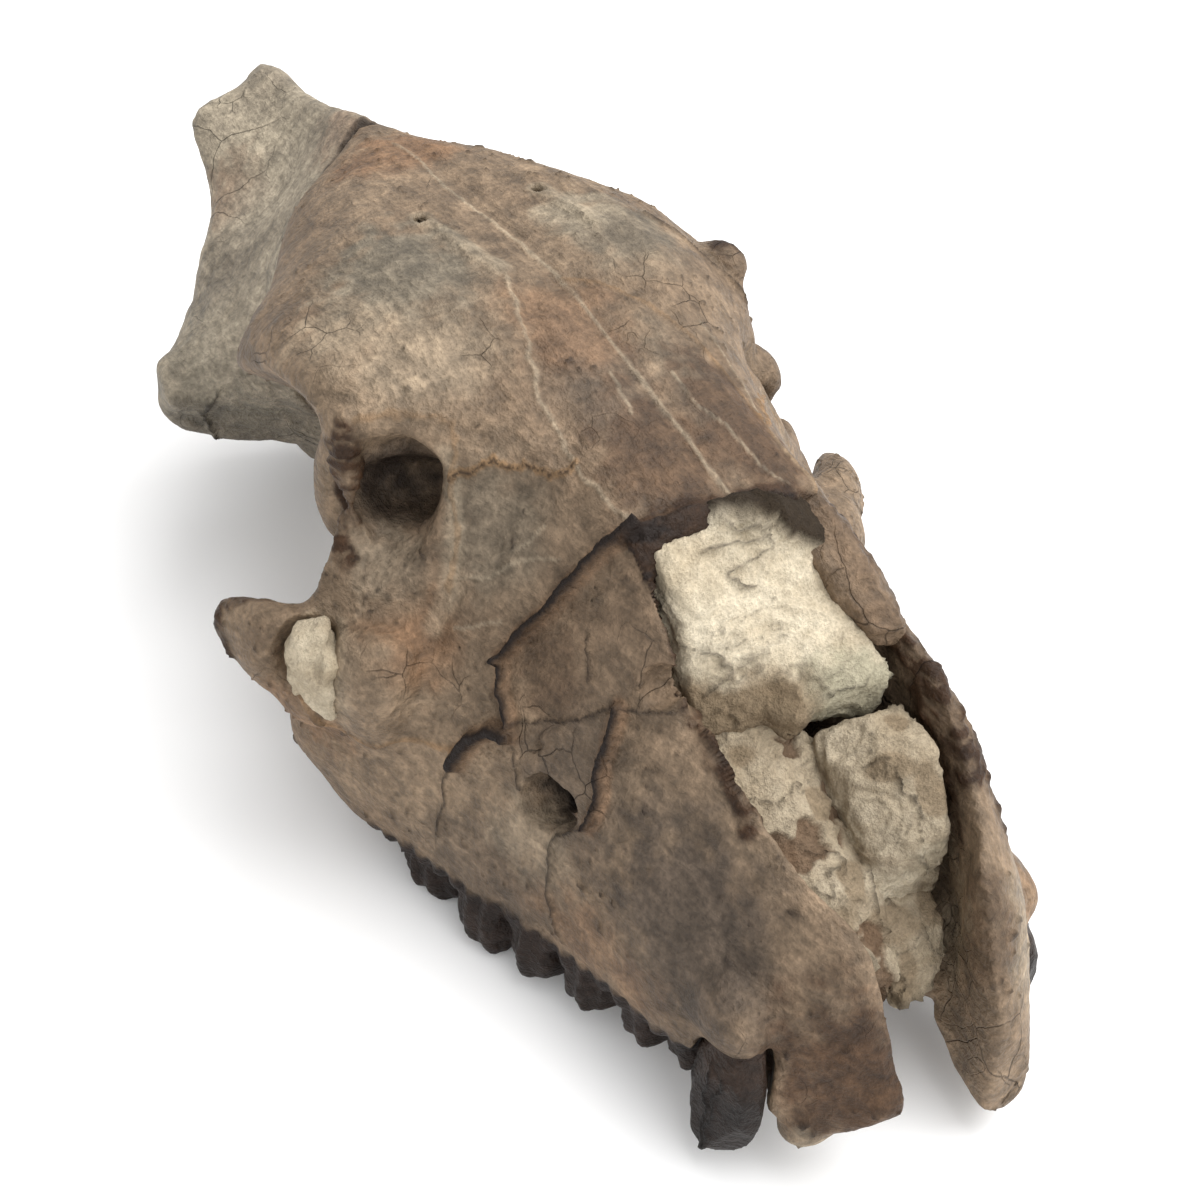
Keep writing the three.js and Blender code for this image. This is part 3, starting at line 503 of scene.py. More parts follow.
# Broken edges, splintered in thin dark layers: round the open nose, on the right cheek bone and eye socket,
# and on the left brow, each with how far the damage reaches.
ROOF_EDGE = [(-11.8, 58.4, 60), (-4.6, 58, 61), (1.3, 57.3, 60.6), (6.2, 57, 60.2), (9.3, 56.4, 58.7),
             (13, 54.7, 56)]
LEFT_WALL_EDGE = [(13.4, 50, 52), (13.6, 44, 45.5), (15, 36, 38.5), (15.6, 30, 33), (16, 25, 28)]
BROKEN_EDGES = [
    (2.6, ROOF_EDGE),
    (1.6, [(-9.1, 56.9, 60), (-12.3, 48.7, 51), (-13.4, 44.9, 45.7)]),
    (1.8, [(-13.4, 44.9, 45.7), (-13.2, 39.1, 40), (-13.8, 33.2, 36)]),
    (2.4, LEFT_WALL_EDGE),
    (1.8, [(-44, 94, 44), (-49, 98, 41), (-50, 96, 36)]),
    (2.2, [(-34.1, 87.5, 66), (-34.4, 90, 59.8), (-34.2, 90.4, 55.5), (-36.7, 88.5, 51.5), (-35.6, 87, 49)]),
    (3.4, [(14.4, 42, 46.5), (14.6, 34, 42), (14.4, 27.6, 36)]),
    (3, [(31, 104, 68), (35, 109, 65), (35, 100, 56), (34, 96, 52)]),
]
layers = rough(face.points * np.array([1, 1, 3]), 2.4, 17)
for wide, line in BROKEN_EDGES:
    gap = face.to_line(line, wander=1.6)
    face.move += fade(gap, 0, wide) * (0.4 * layers - 0.2)
    face.mark("broken_and_shade", fade(gap, 0.4 * wide, wide) * (0.55 + 0.45 * fade(layers, -0.1, 0.25)))

# The break across the roof of the nose is a face five millimetres high, in dark layers of broken bone,
# with painted shade over the layers. The broken top of the left wall is like it, with less painted shade.
ROOF_BREAK_MM = 5
leaf = rough(face.points * np.array([0.35, 1, 2.6]), 2.0, 29)
edge_x, edge_y, edge_z = np.array(ROOF_EDGE).T
from_edge = at_y - np.interp(at_x, edge_x, edge_y) + 0.9 * face.wander[:, 0]
above_edge = at_z - np.interp(at_x, edge_x, edge_z)
roof_break = fade(from_edge, 0.1, 0.6) * fade(from_edge, -ROOF_BREAK_MM, -ROOF_BREAK_MM - 1)
roof_break *= (at_x > -13) * (at_x < 15) * fade(at_z, 49, 47) * fade(above_edge, 0.6, 1.4)
upward = face.out @ np.array((-0.5, -0.2, 0.8))
wall_break = fade(face.to_line(LEFT_WALL_EDGE, wander=0.8), 3, 4) * fade(upward, 0.6, 0.3)
# Painted shade in dark layers on both break faces, full on the roof and lighter on the wall.
for broken_and_shade, dark in ((roof_break, 1.0), (wall_break, 0.7)):
    face.move += broken_and_shade * (0.4 * np.round(leaf * 1.5) / 1.5 - 0.5)
    face.mark("broken_and_shade", broken_and_shade)
    face.mark("crack_and_shade", dark * broken_and_shade * (0.45 + 0.5 * fade(leaf, 0.3, 0)))

# The rough top of the snout's right wall, where the roof of the nose tore off it.
TORN_WALL = [(-16.6, 48.6, 43.3), (-13.4, 43.8, 44.2), (-13, 41, 41.8), (-12.8, 34.8, 38), (-13.6, 28.8, 33),
             (-13.6, 25, 28.6), (-17.2, 27.8, 25), (-18, 33.9, 29.2), (-17.6, 43.1, 36.6)]
torn = fade(face.inside(TORN_WALL, wander=1.5, turned=-0.5), 0.7, -0.8)
face.move += torn * (0.8 * rough(face.points, 2.2, 23) - 0.9)
face.mark("broken_and_shade", 0.65 * torn + 0.35 * torn * fade(lumps(face.points, 1.8, 19), 0.6, 0.4))
face.mark("pale", 0.7 * torn * fade(lumps(face.points, 1.5, 8), 0.75, 0.6))

# Ribs and necks of the cheek teeth, and the swellings of the jaw over their roots.
TOOTH_RIB_MM = 3.1
CROWN_TOP_MM = 8.6
ROOT_MM = 11
along_row = fade(at_y, 31, 28) * fade(at_y, 84, 87)
crown = fade(at_z + 1.4 * face.wander[:, 0], CROWN_TOP_MM, CROWN_TOP_MM + 1.6)
in_row = crown * (np.abs(at_x) > 11) * along_row
face.mark("tooth", in_row)
ribs = np.cos(2 * np.pi * at_y / TOOTH_RIB_MM)
face.move += in_row * (0.3 * ribs + 0.16 * rough(face.points, 1.2, 37))
roots = fade(at_z, ROOT_MM + 6, ROOT_MM) * fade(at_z, ROOT_MM - 2, ROOT_MM) * (np.abs(at_x) > 18) * along_row
face.move += roots * 0.5 * np.cos(2 * np.pi * at_y / (2 * TOOTH_RIB_MM))
face.mark("broken_and_shade", 0.5 * roots * lumps(face.points, 2, 15))

# Stains that the ground left in the bone, painted shade in hollows and painted light: what colour, how strong,
# where, and how far it spreads.
STAINS = [
    ("green", 0.85, (-17, 107, 77), (12, 13, 12)), ("green", 0.7, (13, 104, 76), (9, 12, 10)),
    ("green", 0.5, (6, 76, 66), (5, 16, 8)), ("green", 0.55, (-20, 76, 54), (9, 9, 10)),
    ("pale", 0.55, (10, 110, 78), (7, 7, 6)), ("pale", 0.3, (-22, 91, 72), (12, 9, 8)),
    ("pale", 0.35, (-28, 100, 72), (8, 8, 8)), ("pale", 0.3, (-31, 86, 46), (6, 8, 8)),
    ("pale", 0.6, (-40, 84, 36), (6, 6, 8)), ("pale", 0.3, (-26, 58, 22), (6, 8, 7)),
    # On the next line, the second pale mark is painted light on the left tip of the snout.
    ("pale", 0.9, (-13.5, 19.5, 1.6), (5, 5, 4)), ("pale", 0.6, (13, 20, 16), (6, 9, 13)),
    ("warm", 0.8, (-3, 142, 81), (12, 10, 8)), ("warm", 0.75, (-31, 80, 40), (7, 8, 8)),
    ("warm", 0.5, (-4, 88, 72), (9, 12, 8)), ("warm", 0.6, (-40, 88, 30), (9, 8, 10)),
    ("warm", 0.4, (-24, 46, 14), (9, 14, 6)), ("warm", 0.5, (16, 20, 14), (8, 10, 12)),
    ("umber", 0.95, (-11, 17, 13), (9, 13, 13)), ("umber", 0.5, (9, 17, 24), (6, 8, 9)),
    ("umber", 0.75, (-3, 66, 64), (10, 15, 9)), ("umber", 0.85, (8, 70, 64), (8, 19, 9)),
    ("umber", 0.5, (-20, 64, 41), (8, 8, 9)), ("umber", 0.6, (33, 104, 62), (6, 12, 12)),
    ("dusk", 0.9, (-20, 34, 24), (9, 16, 16)), ("dusk", 0.6, (-21, 55, 30), (8, 12, 12)),
    # Of the dusk marks on the next line, the one round the right hollow before the eye is painted shade.
    ("dusk", 0.6, (-5, 80, 69), (7, 16, 8)), ("dusk", 0.7, (-27, 91, 56), (9, 9, 9)),
    ("dusk", 0.25, (18, 44, 30), (8, 20, 16)), ("dusk", 0.5, (-30, 88, 46), (7, 8, 9)),
    ("dusk", 0.5, (-30, 62, 14), (9, 24, 7)),
    # The second broken mark, behind the right brow, and the crack marks below are painted shade.
    ("broken_and_shade", 0.45, (-9, 15, 14), (7, 9, 10)), ("broken_and_shade", 0.8, (-27, 124, 53), (7, 10, 6)),
    ("crack_and_shade", 0.8, (-27, 91.4, 56.4), (7, 5.4, 4.6)), ("crack_and_shade", 0.7, (26.4, 90, 52), (6, 5.4, 4.6)),
    ("crack_and_shade", 1, (-20, 57, 27.5), (5.4, 5.2, 4.8)),
]
for colour, strong, centre, radii in STAINS:
    away = face.to_spot(centre, radii, wander=2.6) + 0.5 * face.wander[:, 1]
    face.mark(colour, strong * fade(away, 0.45, 1.15))
# Painted shade on the inward-facing walls of the holes, the hollows before the eyes and the broken corners.
for centre, radii in BLOOD_VESSEL_HOLES + TEAR_PITS + BROKEN_CORNERS:
    within = fade(face.to_spot(centre, radii, wander=0), 1.06, 1.25)
    facing_in = -((face.points - np.array(centre)) * face.out).sum(1) / min(radii)
    face.mark("crack_and_shade", 0.9 * within * fade(facing_in, 0.5, -0.2))

# The lie of the bone: fibres along the skull, low swellings and pores.
along_skull = face.points * np.array([1, 0.16, 1])
face.move += 0.16 * rough(face.points, 7, 21) + 0.07 * rough(along_skull, 1.1, 27)
face.move += 0.05 * rough(face.points, 1.3, 31)
pores = fade(lumps(face.points, 0.9, 44), 0.93, 0.8) * fade(lumps(face.points, 9, 45), 0.62, 0.5)
near_nose = fade(face.to_spot((-6, 80, 69), (4, 6, 4), wander=0), 0.7, 1)
pores = np.maximum(pores, near_nose * fade(lumps(face.points, 0.85, 46), 0.86, 0.74))
face.move -= 0.35 * pores
face.mark("crack_and_shade", 0.6 * pores)

face_bones = face.finished("face_bones")


def linear(code):
    """An sRGB hex colour as linear red, green, blue and 1."""
    parts = [int(code[i:i + 2], 16) / 255 for i in (1, 3, 5)]
    return [p / 12.92 if p <= 0.04045 else ((p + 0.055) / 1.055) ** 2.4 for p in parts] + [1]


def add_node(tree, kind, links=None, **settings):
    """A node of that kind, with its settings, and its inputs set to values or linked to other sockets."""
    node = tree.nodes.new(kind)
    for key, value in settings.items():
        setattr(node, key, value)
    for key, value in (links or {}).items():
        socket = node.inputs[key]
        if isinstance(value, bpy.types.NodeSocket):
            tree.links.new(value, socket)
        else:
            socket.default_value = value
    return node


def empty_material(name):
    """A new node material, its tree, and its shader with nothing linked."""
    material = bpy.data.materials.new(name)
    material.use_nodes = True
    tree = material.node_tree
    return material, tree, tree.nodes["Principled BSDF"]


def in_millimetres(tree):
    """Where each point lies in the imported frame, in millimetres."""
    metres = add_node(tree, "ShaderNodeTexCoord").outputs["Object"]
    place = add_node(tree, "ShaderNodeMapping", {"Vector": metres, "Scale": (1000, 1000, 1000)})
    return place.outputs["Vector"]


def painted(tree, colour, stains):
    """The colour with each stain over it in turn, where the surface is marked with that stain."""
    for label, code in stains:
        amount = add_node(tree, "ShaderNodeAttribute", attribute_name=label).outputs["Fac"]
        colour = add_node(tree, "ShaderNodeMix", {
            "Factor": amount, "A": colour, "B": linear(code)}, data_type="RGBA").outputs[2]
    return colour


def dappled(tree, colour, grain, shades):
    """The colour darkened and lightened by each grain in turn, between two shares."""
    for part, low, high, dark, bright in shades:
        shade = add_node(tree, "ShaderNodeMapRange", {
            "Value": grain[part], "From Min": low, "From Max": high, "To Min": dark, "To Max": bright})
        colour = add_node(tree, "ShaderNodeVectorMath", {
            0: colour, "Scale": shade.outputs["Result"]}, operation="SCALE").outputs["Vector"]
    return colour


def hair_cracks(tree, bent):
    """Hair cracks in patches, round pieces of 13 mm and finer ones round pieces of 5 mm."""
    nets = []
    for size, wide, seed in ((13, 0.009, 0), (5, 0.016, 31)):
        shifted = add_node(tree, "ShaderNodeMapping", {
            "Vector": bent, "Location": (seed, seed, seed)}).outputs["Vector"]
        cell = add_node(tree, "ShaderNodeTexVoronoi", {
            "Vector": shifted, "Scale": 1 / size}, feature="DISTANCE_TO_EDGE").outputs["Distance"]
        line = add_node(tree, "ShaderNodeMapRange", {
            "Value": cell, "From Min": wide, "From Max": 0.0}).outputs["Result"]
        patch = add_node(tree, "ShaderNodeTexNoise", {
            "Vector": shifted, "Scale": 1 / (4 * size), "Detail": 2.0}).outputs["Fac"]
        where = add_node(tree, "ShaderNodeMapRange", {
            "Value": patch, "From Min": 0.56, "From Max": 0.68}).outputs["Result"]
        nets.append(add_node(tree, "ShaderNodeMath", {
            0: line, 1: where}, operation="MULTIPLY").outputs[0])
    return add_node(tree, "ShaderNodeMath", {0: nets[0], 1: nets[1]}, operation="MAXIMUM").outputs[0]


BEND_MM = 2.6
FAINT_HAIRS = 0.25
ENAMEL_ROUGHNESS = 0.45
BONE_RELIEF_M = 0.0008
DULL_SPECULAR = 0.2


def fossil_bone(name, base, light, deep, stains):
    """Permineralised bone: dense stone that keeps the bone's fibres, with a dull, slightly greasy face."""
    material, tree, shader = empty_material(name)
    place = in_millimetres(tree)
    shake = add_node(tree, "ShaderNodeTexNoise", {
        "Vector": place, "Scale": 1 / 5, "Detail": 3.0}).outputs["Color"]
    bent = add_node(tree, "ShaderNodeVectorMath", {
        0: shake, 1: (BEND_MM, BEND_MM, BEND_MM), 2: place}, operation="MULTIPLY_ADD").outputs["Vector"]
    fibres = add_node(tree, "ShaderNodeMapping", {
        "Vector": bent, "Scale": (1, 0.12, 1)}).outputs["Vector"]

    # Grain sizes in millimetres: clouds of stain, mottling, fibres along the skull, flecks and grit.
    grain = {}
    for part, size, detail, source in (("cloud", 24, 5, place), ("mottle", 4, 6, bent),
                                       ("fibre", 1.0, 3, fibres), ("fleck", 0.8, 2, place),
                                       ("grit", 0.35, 2, place)):
        grain[part] = add_node(tree, "ShaderNodeTexNoise", {
            "Vector": source, "Scale": 1 / size, "Detail": detail, "Roughness": 0.6}).outputs["Fac"]

    spread = add_node(tree, "ShaderNodeMapRange", {
        "Value": grain["cloud"], "From Min": 0.36, "From Max": 0.66}).outputs["Result"]
    colour = add_node(tree, "ShaderNodeMix", {
        "Factor": spread, "A": linear(base), "B": linear(light)}, data_type="RGBA").outputs[2]
    colour = painted(tree, colour, stains)
    colour = dappled(tree, colour, grain, [
        ("mottle", 0.36, 0.66, 0.64, 1.24),
        ("fibre", 0.35, 0.65, 0.82, 1.15),
        ("fleck", 0.36, 0.7, 0.8, 1.18),
    ])

    # Hair cracks show faintly, and carved cracks and the painted shade marked with them in full.
    hairs = hair_cracks(tree, bent)
    faint = add_node(tree, "ShaderNodeMath", {0: hairs, 1: FAINT_HAIRS}, operation="MULTIPLY").outputs[0]
    colour = add_node(tree, "ShaderNodeMix", {
        "Factor": faint, "A": colour, "B": linear(deep)}, data_type="RGBA").outputs[2]
    colour = painted(tree, colour, [("crack_and_shade", deep)])
    tree.links.new(colour, shader.inputs["Base Color"])

    tooth = add_node(tree, "ShaderNodeAttribute", attribute_name="tooth").outputs["Fac"]
    dull = add_node(tree, "ShaderNodeMapRange", {
        "Value": grain["mottle"], "From Min": 0.3, "From Max": 0.7, "To Min": 0.46, "To Max": 0.68})
    gloss = add_node(tree, "ShaderNodeMix", {
        "Factor": tooth, "A": dull.outputs["Result"], "B": ENAMEL_ROUGHNESS}, data_type="FLOAT").outputs[0]
    tree.links.new(gloss, shader.inputs["Roughness"])
    shader.inputs["IOR"].default_value = 1.5
    shader.inputs["Specular IOR Level"].default_value = DULL_SPECULAR

    height = add_node(tree, "ShaderNodeMath", {0: hairs, 1: -0.5}, operation="MULTIPLY").outputs[0]
    for part, share in (("mottle", 0.9), ("fibre", 0.45), ("fleck", 0.35), ("grit", 0.2)):
        height = add_node(tree, "ShaderNodeMath", {
            0: grain[part], 1: share, 2: height}, operation="MULTIPLY_ADD").outputs[0]
    bump = add_node(tree, "ShaderNodeBump", {"Height": height, "Strength": 1.0, "Distance": BONE_RELIEF_M})
    tree.links.new(bump.outputs["Normal"], shader.inputs["Normal"])
    return material


# Green-grey and dusky clay, rust, umber and pale lime in the bone, rust in the seams, and the black of
# broken edges and enamel. Some dusky and broken-edge marks are painted shade, and one pale mark painted light.
BONE_STAINS = [
    ("green", "#70685a"), ("dusk", "#54493f"), ("warm", "#7f6148"), ("umber", "#513d2d"),
    ("pale", "#a89a84"), ("seam", "#866a4c"), ("broken_and_shade", "#3c2a1c"), ("tooth", "#261b15"),
]
brown_bone = fossil_bone("permineralised_brown_bone", "#6f5d4b", "#887560", "#1c1410", BONE_STAINS)
face_bones.data.materials.append(brown_bone)
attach(face_bones, "root")
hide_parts(*FACE_NODES)

# The braincase and the back of the skull.
# The hind bones broke from the forehead along the groove behind the brow and sit in it again.
# They lay in paler silt, so their stone is greyer.

HIND_NODES = ["braincase", "occipital", "temporal_right", "temporal_left"]
HIND_SWELL_MM = 0.25
hind_field, hind_low = one_solid(HIND_NODES)
hind = Shell(hind_field - HIND_SWELL_MM, hind_low)

# The groove behind the brow, as it runs over the head seen from above. It ends above the cheeks.
BROW_GROOVE = [(0, 159), (9, 154.6), (18, 148), (27, 136.6), (34, 127.6)]
GROOVE_END_MM = 40
plan = np.stack([np.abs(hind.points[:, 0]), hind.points[:, 1]], axis=1) + 0.8 * hind.wander[:, :2]
gap = np.full(len(plan), FAR_MM)
for start, end in zip(np.array(BROW_GROOVE[:-1]), np.array(BROW_GROOVE[1:])):
    way = end - start
    share = np.clip((plan - start) @ way / (way @ way), 0, 1)
    gap = np.minimum(gap, np.linalg.norm(plan - start - share[:, None] * way, axis=1))
gap = gap + 9 * fade(hind.points[:, 2], GROOVE_END_MM, GROOVE_END_MM + 6)
deeper = 0.4 + 0.6 * fade(plan[:, 0], 6, 10)
hind.move -= 0.8 * deeper * fade(gap, 0.2, 1.4)
hind.mark("crack_and_shade", 0.75 * deeper * fade(gap, 0.3, 0.8))
hind.mark("broken_and_shade", 0.6 * deeper * fade(gap, 0.6, 1.8))
hind.mark("dusk", 0.55 * fade(hind.points[:, 2] + 4 * hind.wander[:, 0], 30, 44))
# The first broken mark, behind the right brow, is painted shade; the rest are stains.
HIND_STAINS = [
    ("broken_and_shade", 0.8, (-27, 126, 53), (7, 9, 6)), ("broken_and_shade", 0.5, (-30, 150, 26), (8, 10, 6)),
    ("pale", 0.6, (-12, 172, 70), (12, 12, 14)), ("pale", 0.5, (-24, 152, 54), (12, 14, 14)),
    ("warm", 0.5, (-14, 184, 62), (8, 10, 12)), ("dusk", 0.5, (-20, 166, 56), (10, 10, 12)),
    ("warm", 0.45, (0, 160, 76), (10, 12, 8)), ("green", 0.6, (-28, 160, 40), (14, 14, 16)),
    ("green", 0.6, (24, 158, 44), (14, 16, 16)), ("pale", 0.4, (20, 170, 60), (14, 12, 14)),
]
for colour, strong, centre, radii in HIND_STAINS:
    away = hind.to_spot(centre, radii, wander=3) + 0.5 * hind.wander[:, 1]
    hind.mark(colour, strong * fade(away, 0.4, 1.15))
HIND_CRACKS = [
    [(8, 176, 72), (14, 168, 66), (20, 160, 58)],
    [(-30, 150, 48), (-33, 158, 38), (-28, 168, 30)],
    [(10, 174, 70), (18, 164, 62), (26, 156, 50), (28, 150, 38)],
    [(0, 186, 58), (6, 190, 46), (-2, 188, 34)],
]
for line in HIND_CRACKS:
    gap = hind.to_line(line, wander=1.4)
    hind.move -= 0.6 * fade(gap, 0.1, 0.6)
    hind.mark("crack_and_shade", 0.75 * fade(gap, 0.15, 0.5))

# Low swellings and upright fibres of the bone.
hind.move += 0.2 * rough(hind.points, 7, 41) + 0.08 * rough(hind.points * np.array([1, 1, 0.2]), 1.3, 47)
hind.move += 0.06 * rough(hind.points, 1.4, 51)
hind_bones = hind.finished("hind_bones")
grey_bone = fossil_bone("permineralised_grey_bone", "#877c6c", "#a79b87", "#201a15", [
    ("green", "#6f6a5e"), ("dusk", "#4e463d"), ("warm", "#806450"), ("pale", "#a99d8a"),
    ("broken_and_shade", "#40332a"),
])
hind_bones.data.materials.append(grey_bone)
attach(hind_bones, "root")
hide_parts(*HIND_NODES)

# The loose strip of the left nasal.
# A splinter of the roof of the nose, left lying on the rock when the rest of the roof broke away.

STRIP_SWELL_MM = 0.9
strip_field, strip_low = one_solid(["nasal_strip"], soften=0.6)
strip = Shell(strip_field - STRIP_SWELL_MM, strip_low)
strip.move += 0.3 * rough(strip.points * np.array([1, 1, 2]), 2.2, 61)
torn_side = strip.out @ np.array([-0.75, -0.5, 0]) + 0.25 * strip.wander[:, 0]
strip.mark("broken_and_shade", fade(torn_side, 0.55, 0.2))
strip.mark("umber", 0.6 * lumps(strip.points, 4, 3))
nasal_splinter = strip.finished("nasal_splinter")
nasal_splinter.data.materials.append(brown_bone)
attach(nasal_splinter, "root")
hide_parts("nasal_strip")

# The canines.
# Two short stout teeth in the front of the jaw, of almost black enamel, split and chipped at the ends.

CANINE_STEP = 0.25
CANINE_REACH_MM = 40
SPLIT_HALF_MM = 9
SPLIT_SIDE_MM = 3

# The flats that blows left on a canine: which way each faces, and how far it is from the middle.
STRUCK_FACES = [
    ((-0.95, -0.3, 0.1), 3.0), ((-0.3, -0.95, 0), 4.6), ((0.2, -0.5, -0.84), 8.2), ((-0.5, 0.3, -0.8), 8.6),
    ((-0.6, -0.75, -0.3), 4.9), ((0.9, -0.4, 0), 3.2), ((-0.7, 0.7, 0), 4.4),
]

# The splits down a canine: how much each leans, and where it starts along the jaw.
SPLITS = [(0.5, -2.0), (-0.3, 1.2), (0.2, 3.4)]
tooth_enamel = fossil_bone("dark_fossil_enamel", "#1f1814", "#2c221c", "#0d0a08", [
    ("tooth", "#1f1713"), ("warm", "#33261e"), ("pale", "#6a5c50")])
for side, mirror in (("right", 1), ("left", -1)):
    enamel, low = one_solid(["canine_" + side], step=CANINE_STEP, soften=0.5)
    middle = (np.array(enamel.shape) / 2 + low) * CANINE_STEP
    cut, apart = block_round(enamel, low, middle, CANINE_REACH_MM, CANINE_STEP)
    for facing, far in STRUCK_FACES:
        way = np.array(facing) * (mirror, 1, 1)
        beyond = sum(a * w for a, w in zip(apart, way)) - far
        enamel[cut] = np.maximum(enamel[cut], beyond)
    tusk = Shell(enamel, low, step=CANINE_STEP)
    for lean, start in SPLITS:
        upper = middle + (-SPLIT_SIDE_MM * mirror, start, SPLIT_HALF_MM)
        lower = middle + (-SPLIT_SIDE_MM * mirror, start + lean * 4, -SPLIT_HALF_MM)
        gap = tusk.to_line([upper, lower], wander=1.0)
        tusk.move -= 0.35 * fade(gap, 0.05, 0.35)
        tusk.mark("crack_and_shade", 0.7 * fade(gap, 0.1, 0.35))
    tusk.mark("tooth", np.ones(len(tusk.points)))
    tusk.mark("warm", fade(tusk.points[:, 2] + tusk.wander[:, 0], 12, 8))
    tusk.move += 0.10 * rough(tusk.points, 2.5, 57)
    canine = tusk.finished("canine_tooth_" + side)
    canine.data.materials.append(tooth_enamel)
    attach(canine, "root")
    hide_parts("canine_" + side)

# The rock in the nose.
# Pale hard siltstone that filled the snout before the roof of it broke off, split in blocks by drying.
# It breaks in steps and flakes, and is stained brown where it lay against the bone; painted shade darkens its
# low faces and the strip under the nose's roof.

CHALKY_ROUGHNESS = 0.93
ROCK_RELIEF_M = 0.0006


def siltstone(name):
    """Hard fine-grained rock: quite matt, chalky on top, and brown low down with stain and painted shade."""
    material, tree, shader = empty_material(name)
    place = in_millimetres(tree)

    # Grain sizes in millimetres: clouds, crumbs and grit.
    grain = {}
    for part, size, detail in (("cloud", 7, 5), ("crumb", 1.6, 5), ("grit", 0.4, 3)):
        grain[part] = add_node(tree, "ShaderNodeTexNoise", {
            "Vector": place, "Scale": 1 / size, "Detail": detail, "Roughness": 0.65}).outputs["Fac"]
    spread = add_node(tree, "ShaderNodeMapRange", {
        "Value": grain["cloud"], "From Min": 0.35, "From Max": 0.65}).outputs["Result"]
    colour = add_node(tree, "ShaderNodeMix", {
        "Factor": spread, "A": linear("#b2a48c"), "B": linear("#cfc3ac")}, data_type="RGBA").outputs[2]
    # Silt, stain and crack colours, which also carry painted shade, and the brown of scraps of bone.
    colour = painted(tree, colour, [
        ("silt_and_shade", "#a09a84"), ("stain_and_shade", "#7c6b55"), ("scrap", "#66503e"), ("crack_and_shade", "#32291f")])
    colour = dappled(tree, colour, grain, [
        ("crumb", 0.35, 0.65, 0.86, 1.12), ("grit", 0.35, 0.65, 0.88, 1.1)])
    tree.links.new(colour, shader.inputs["Base Color"])
    shader.inputs["Roughness"].default_value = CHALKY_ROUGHNESS
    shader.inputs["IOR"].default_value = 1.5
    shader.inputs["Specular IOR Level"].default_value = DULL_SPECULAR
    height = add_node(tree, "ShaderNodeMath", {
        0: grain["grit"], 1: 0.5, 2: grain["crumb"]}, operation="MULTIPLY_ADD").outputs[0]
    bump = add_node(tree, "ShaderNodeBump", {"Height": height, "Strength": 0.9, "Distance": ROCK_RELIEF_M})
    tree.links.new(bump.outputs["Normal"], shader.inputs["Normal"])
    return material


rock_stone = siltstone("pale_siltstone")
ROCK_STEP = 0.35

# Each block grows by this much, to close the gaps that the solids keep.
SWELL_MM = {"matrix_upper": 0.9, "matrix_lower_right": 1.1, "matrix_lower_left": 1.1, "matrix_front": 0.9}
for number, (block, swell) in enumerate(SWELL_MM.items()):
    body, low = one_solid([block], step=ROCK_STEP, soften=0.4)
    lump = Shell(body - swell, low, step=ROCK_STEP)

    # Steps where the rock split along its beds, with crumbs on them.
    steps = rough(lump.points, 7, 71 + number, 2) * 2.2
    stepped = np.floor(steps) + fade(steps - np.floor(steps), 0.85, 0.45)
    lump.move += 0.5 * (stepped - steps) + 0.3 * rough(lump.points, 2.4, 75)
    lump.move += 0.14 * rough(lump.points, 0.9, 77)

    # Drying cracks: across the block on top, and down the others.
    on_top = block == "matrix_upper"
    along_cracks = np.array([0.3, 1, 1]) if on_top else np.array([1, 1, 0.35])
    waved = lump.points * along_cracks + 1.1 * lump.wander
    for size, seed, deep in ((9, 81, 0.7), (5, 83, 0.4)):
        crease = fade(np.abs(rough(waved, size, seed + number, 3)), 0.0, 0.04)
        crease *= fade(lumps(lump.points, 5, seed + 2), 0.5, 0.35)
        lump.move -= deep * crease
        lump.mark("crack_and_shade", 0.9 * deep * crease)
    if on_top:
        # It is hollowed out above the other blocks, where silt, brown stain and painted shade darken its low
        # face, and it sinks under the roof, with a painted shadow of the roof on it.
        across, along, height = lump.points.T
        middle_strip = fade(np.abs(across + 1 + 1.5 * lump.wander[:, 0]), 0, 2.6)
        lump.move -= 1.4 * middle_strip * fade(height, 43, 47)
        low_face = height + 2.5 * lump.wander[:, 2]
        left_part = fade(across + 2 * lump.wander[:, 1], 0, 4)
        # Painted shade, with silt and brown stain, on the low face of the block.
        lump.mark("stain_and_shade", 0.95 * fade(low_face, 43.5, 46.5) * left_part)
        lump.mark("silt_and_shade", 0.8 * fade(low_face, 43.5, 47) * fade(across, 2, -1))
        # A painted shadow of the nose's roof on the rock just under its edge, where the rock sinks too.
        under_roof = along + 0.3 * across + 1.2 * lump.wander[:, 1] - 55
        lump.move -= 2.2 * fade(under_roof, 1.2, -0.6)
        lump.mark("crack_and_shade", fade(under_roof, 0.9, -0.3))
    else:
        # Painted shade on the faces that turn downwards, and patches of brown stain.
        under = fade(lump.out[:, 2] + 0.5 * lump.wander[:, 0], -0.1, 0.35)
        lump.mark("stain_and_shade", 0.5 * under + 0.35 * fade(lumps(lump.points, 3.4, 88), 0.62, 0.5))
    if block == "matrix_lower_right":
        # Scraps of the nose's thin inner bone are still stuck to it.
        scrap = fade(rough(lump.points + 1.4 * lump.wander, 5, 91), 0.32, 0.2)
        lump.mark("scrap", 0.85 * scrap)
        lump.move += 0.7 * scrap + 0.5 * scrap * rough(lump.points, 1.4, 97)
    rock = lump.finished(block.replace("matrix", "rock"))
    rock.data.materials.append(rock_stone)
    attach(rock, "root")
    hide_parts(block)

# The patch of rock on the broken cheek bone.
# A smear of the same siltstone left in the break, flush with the bone round it.

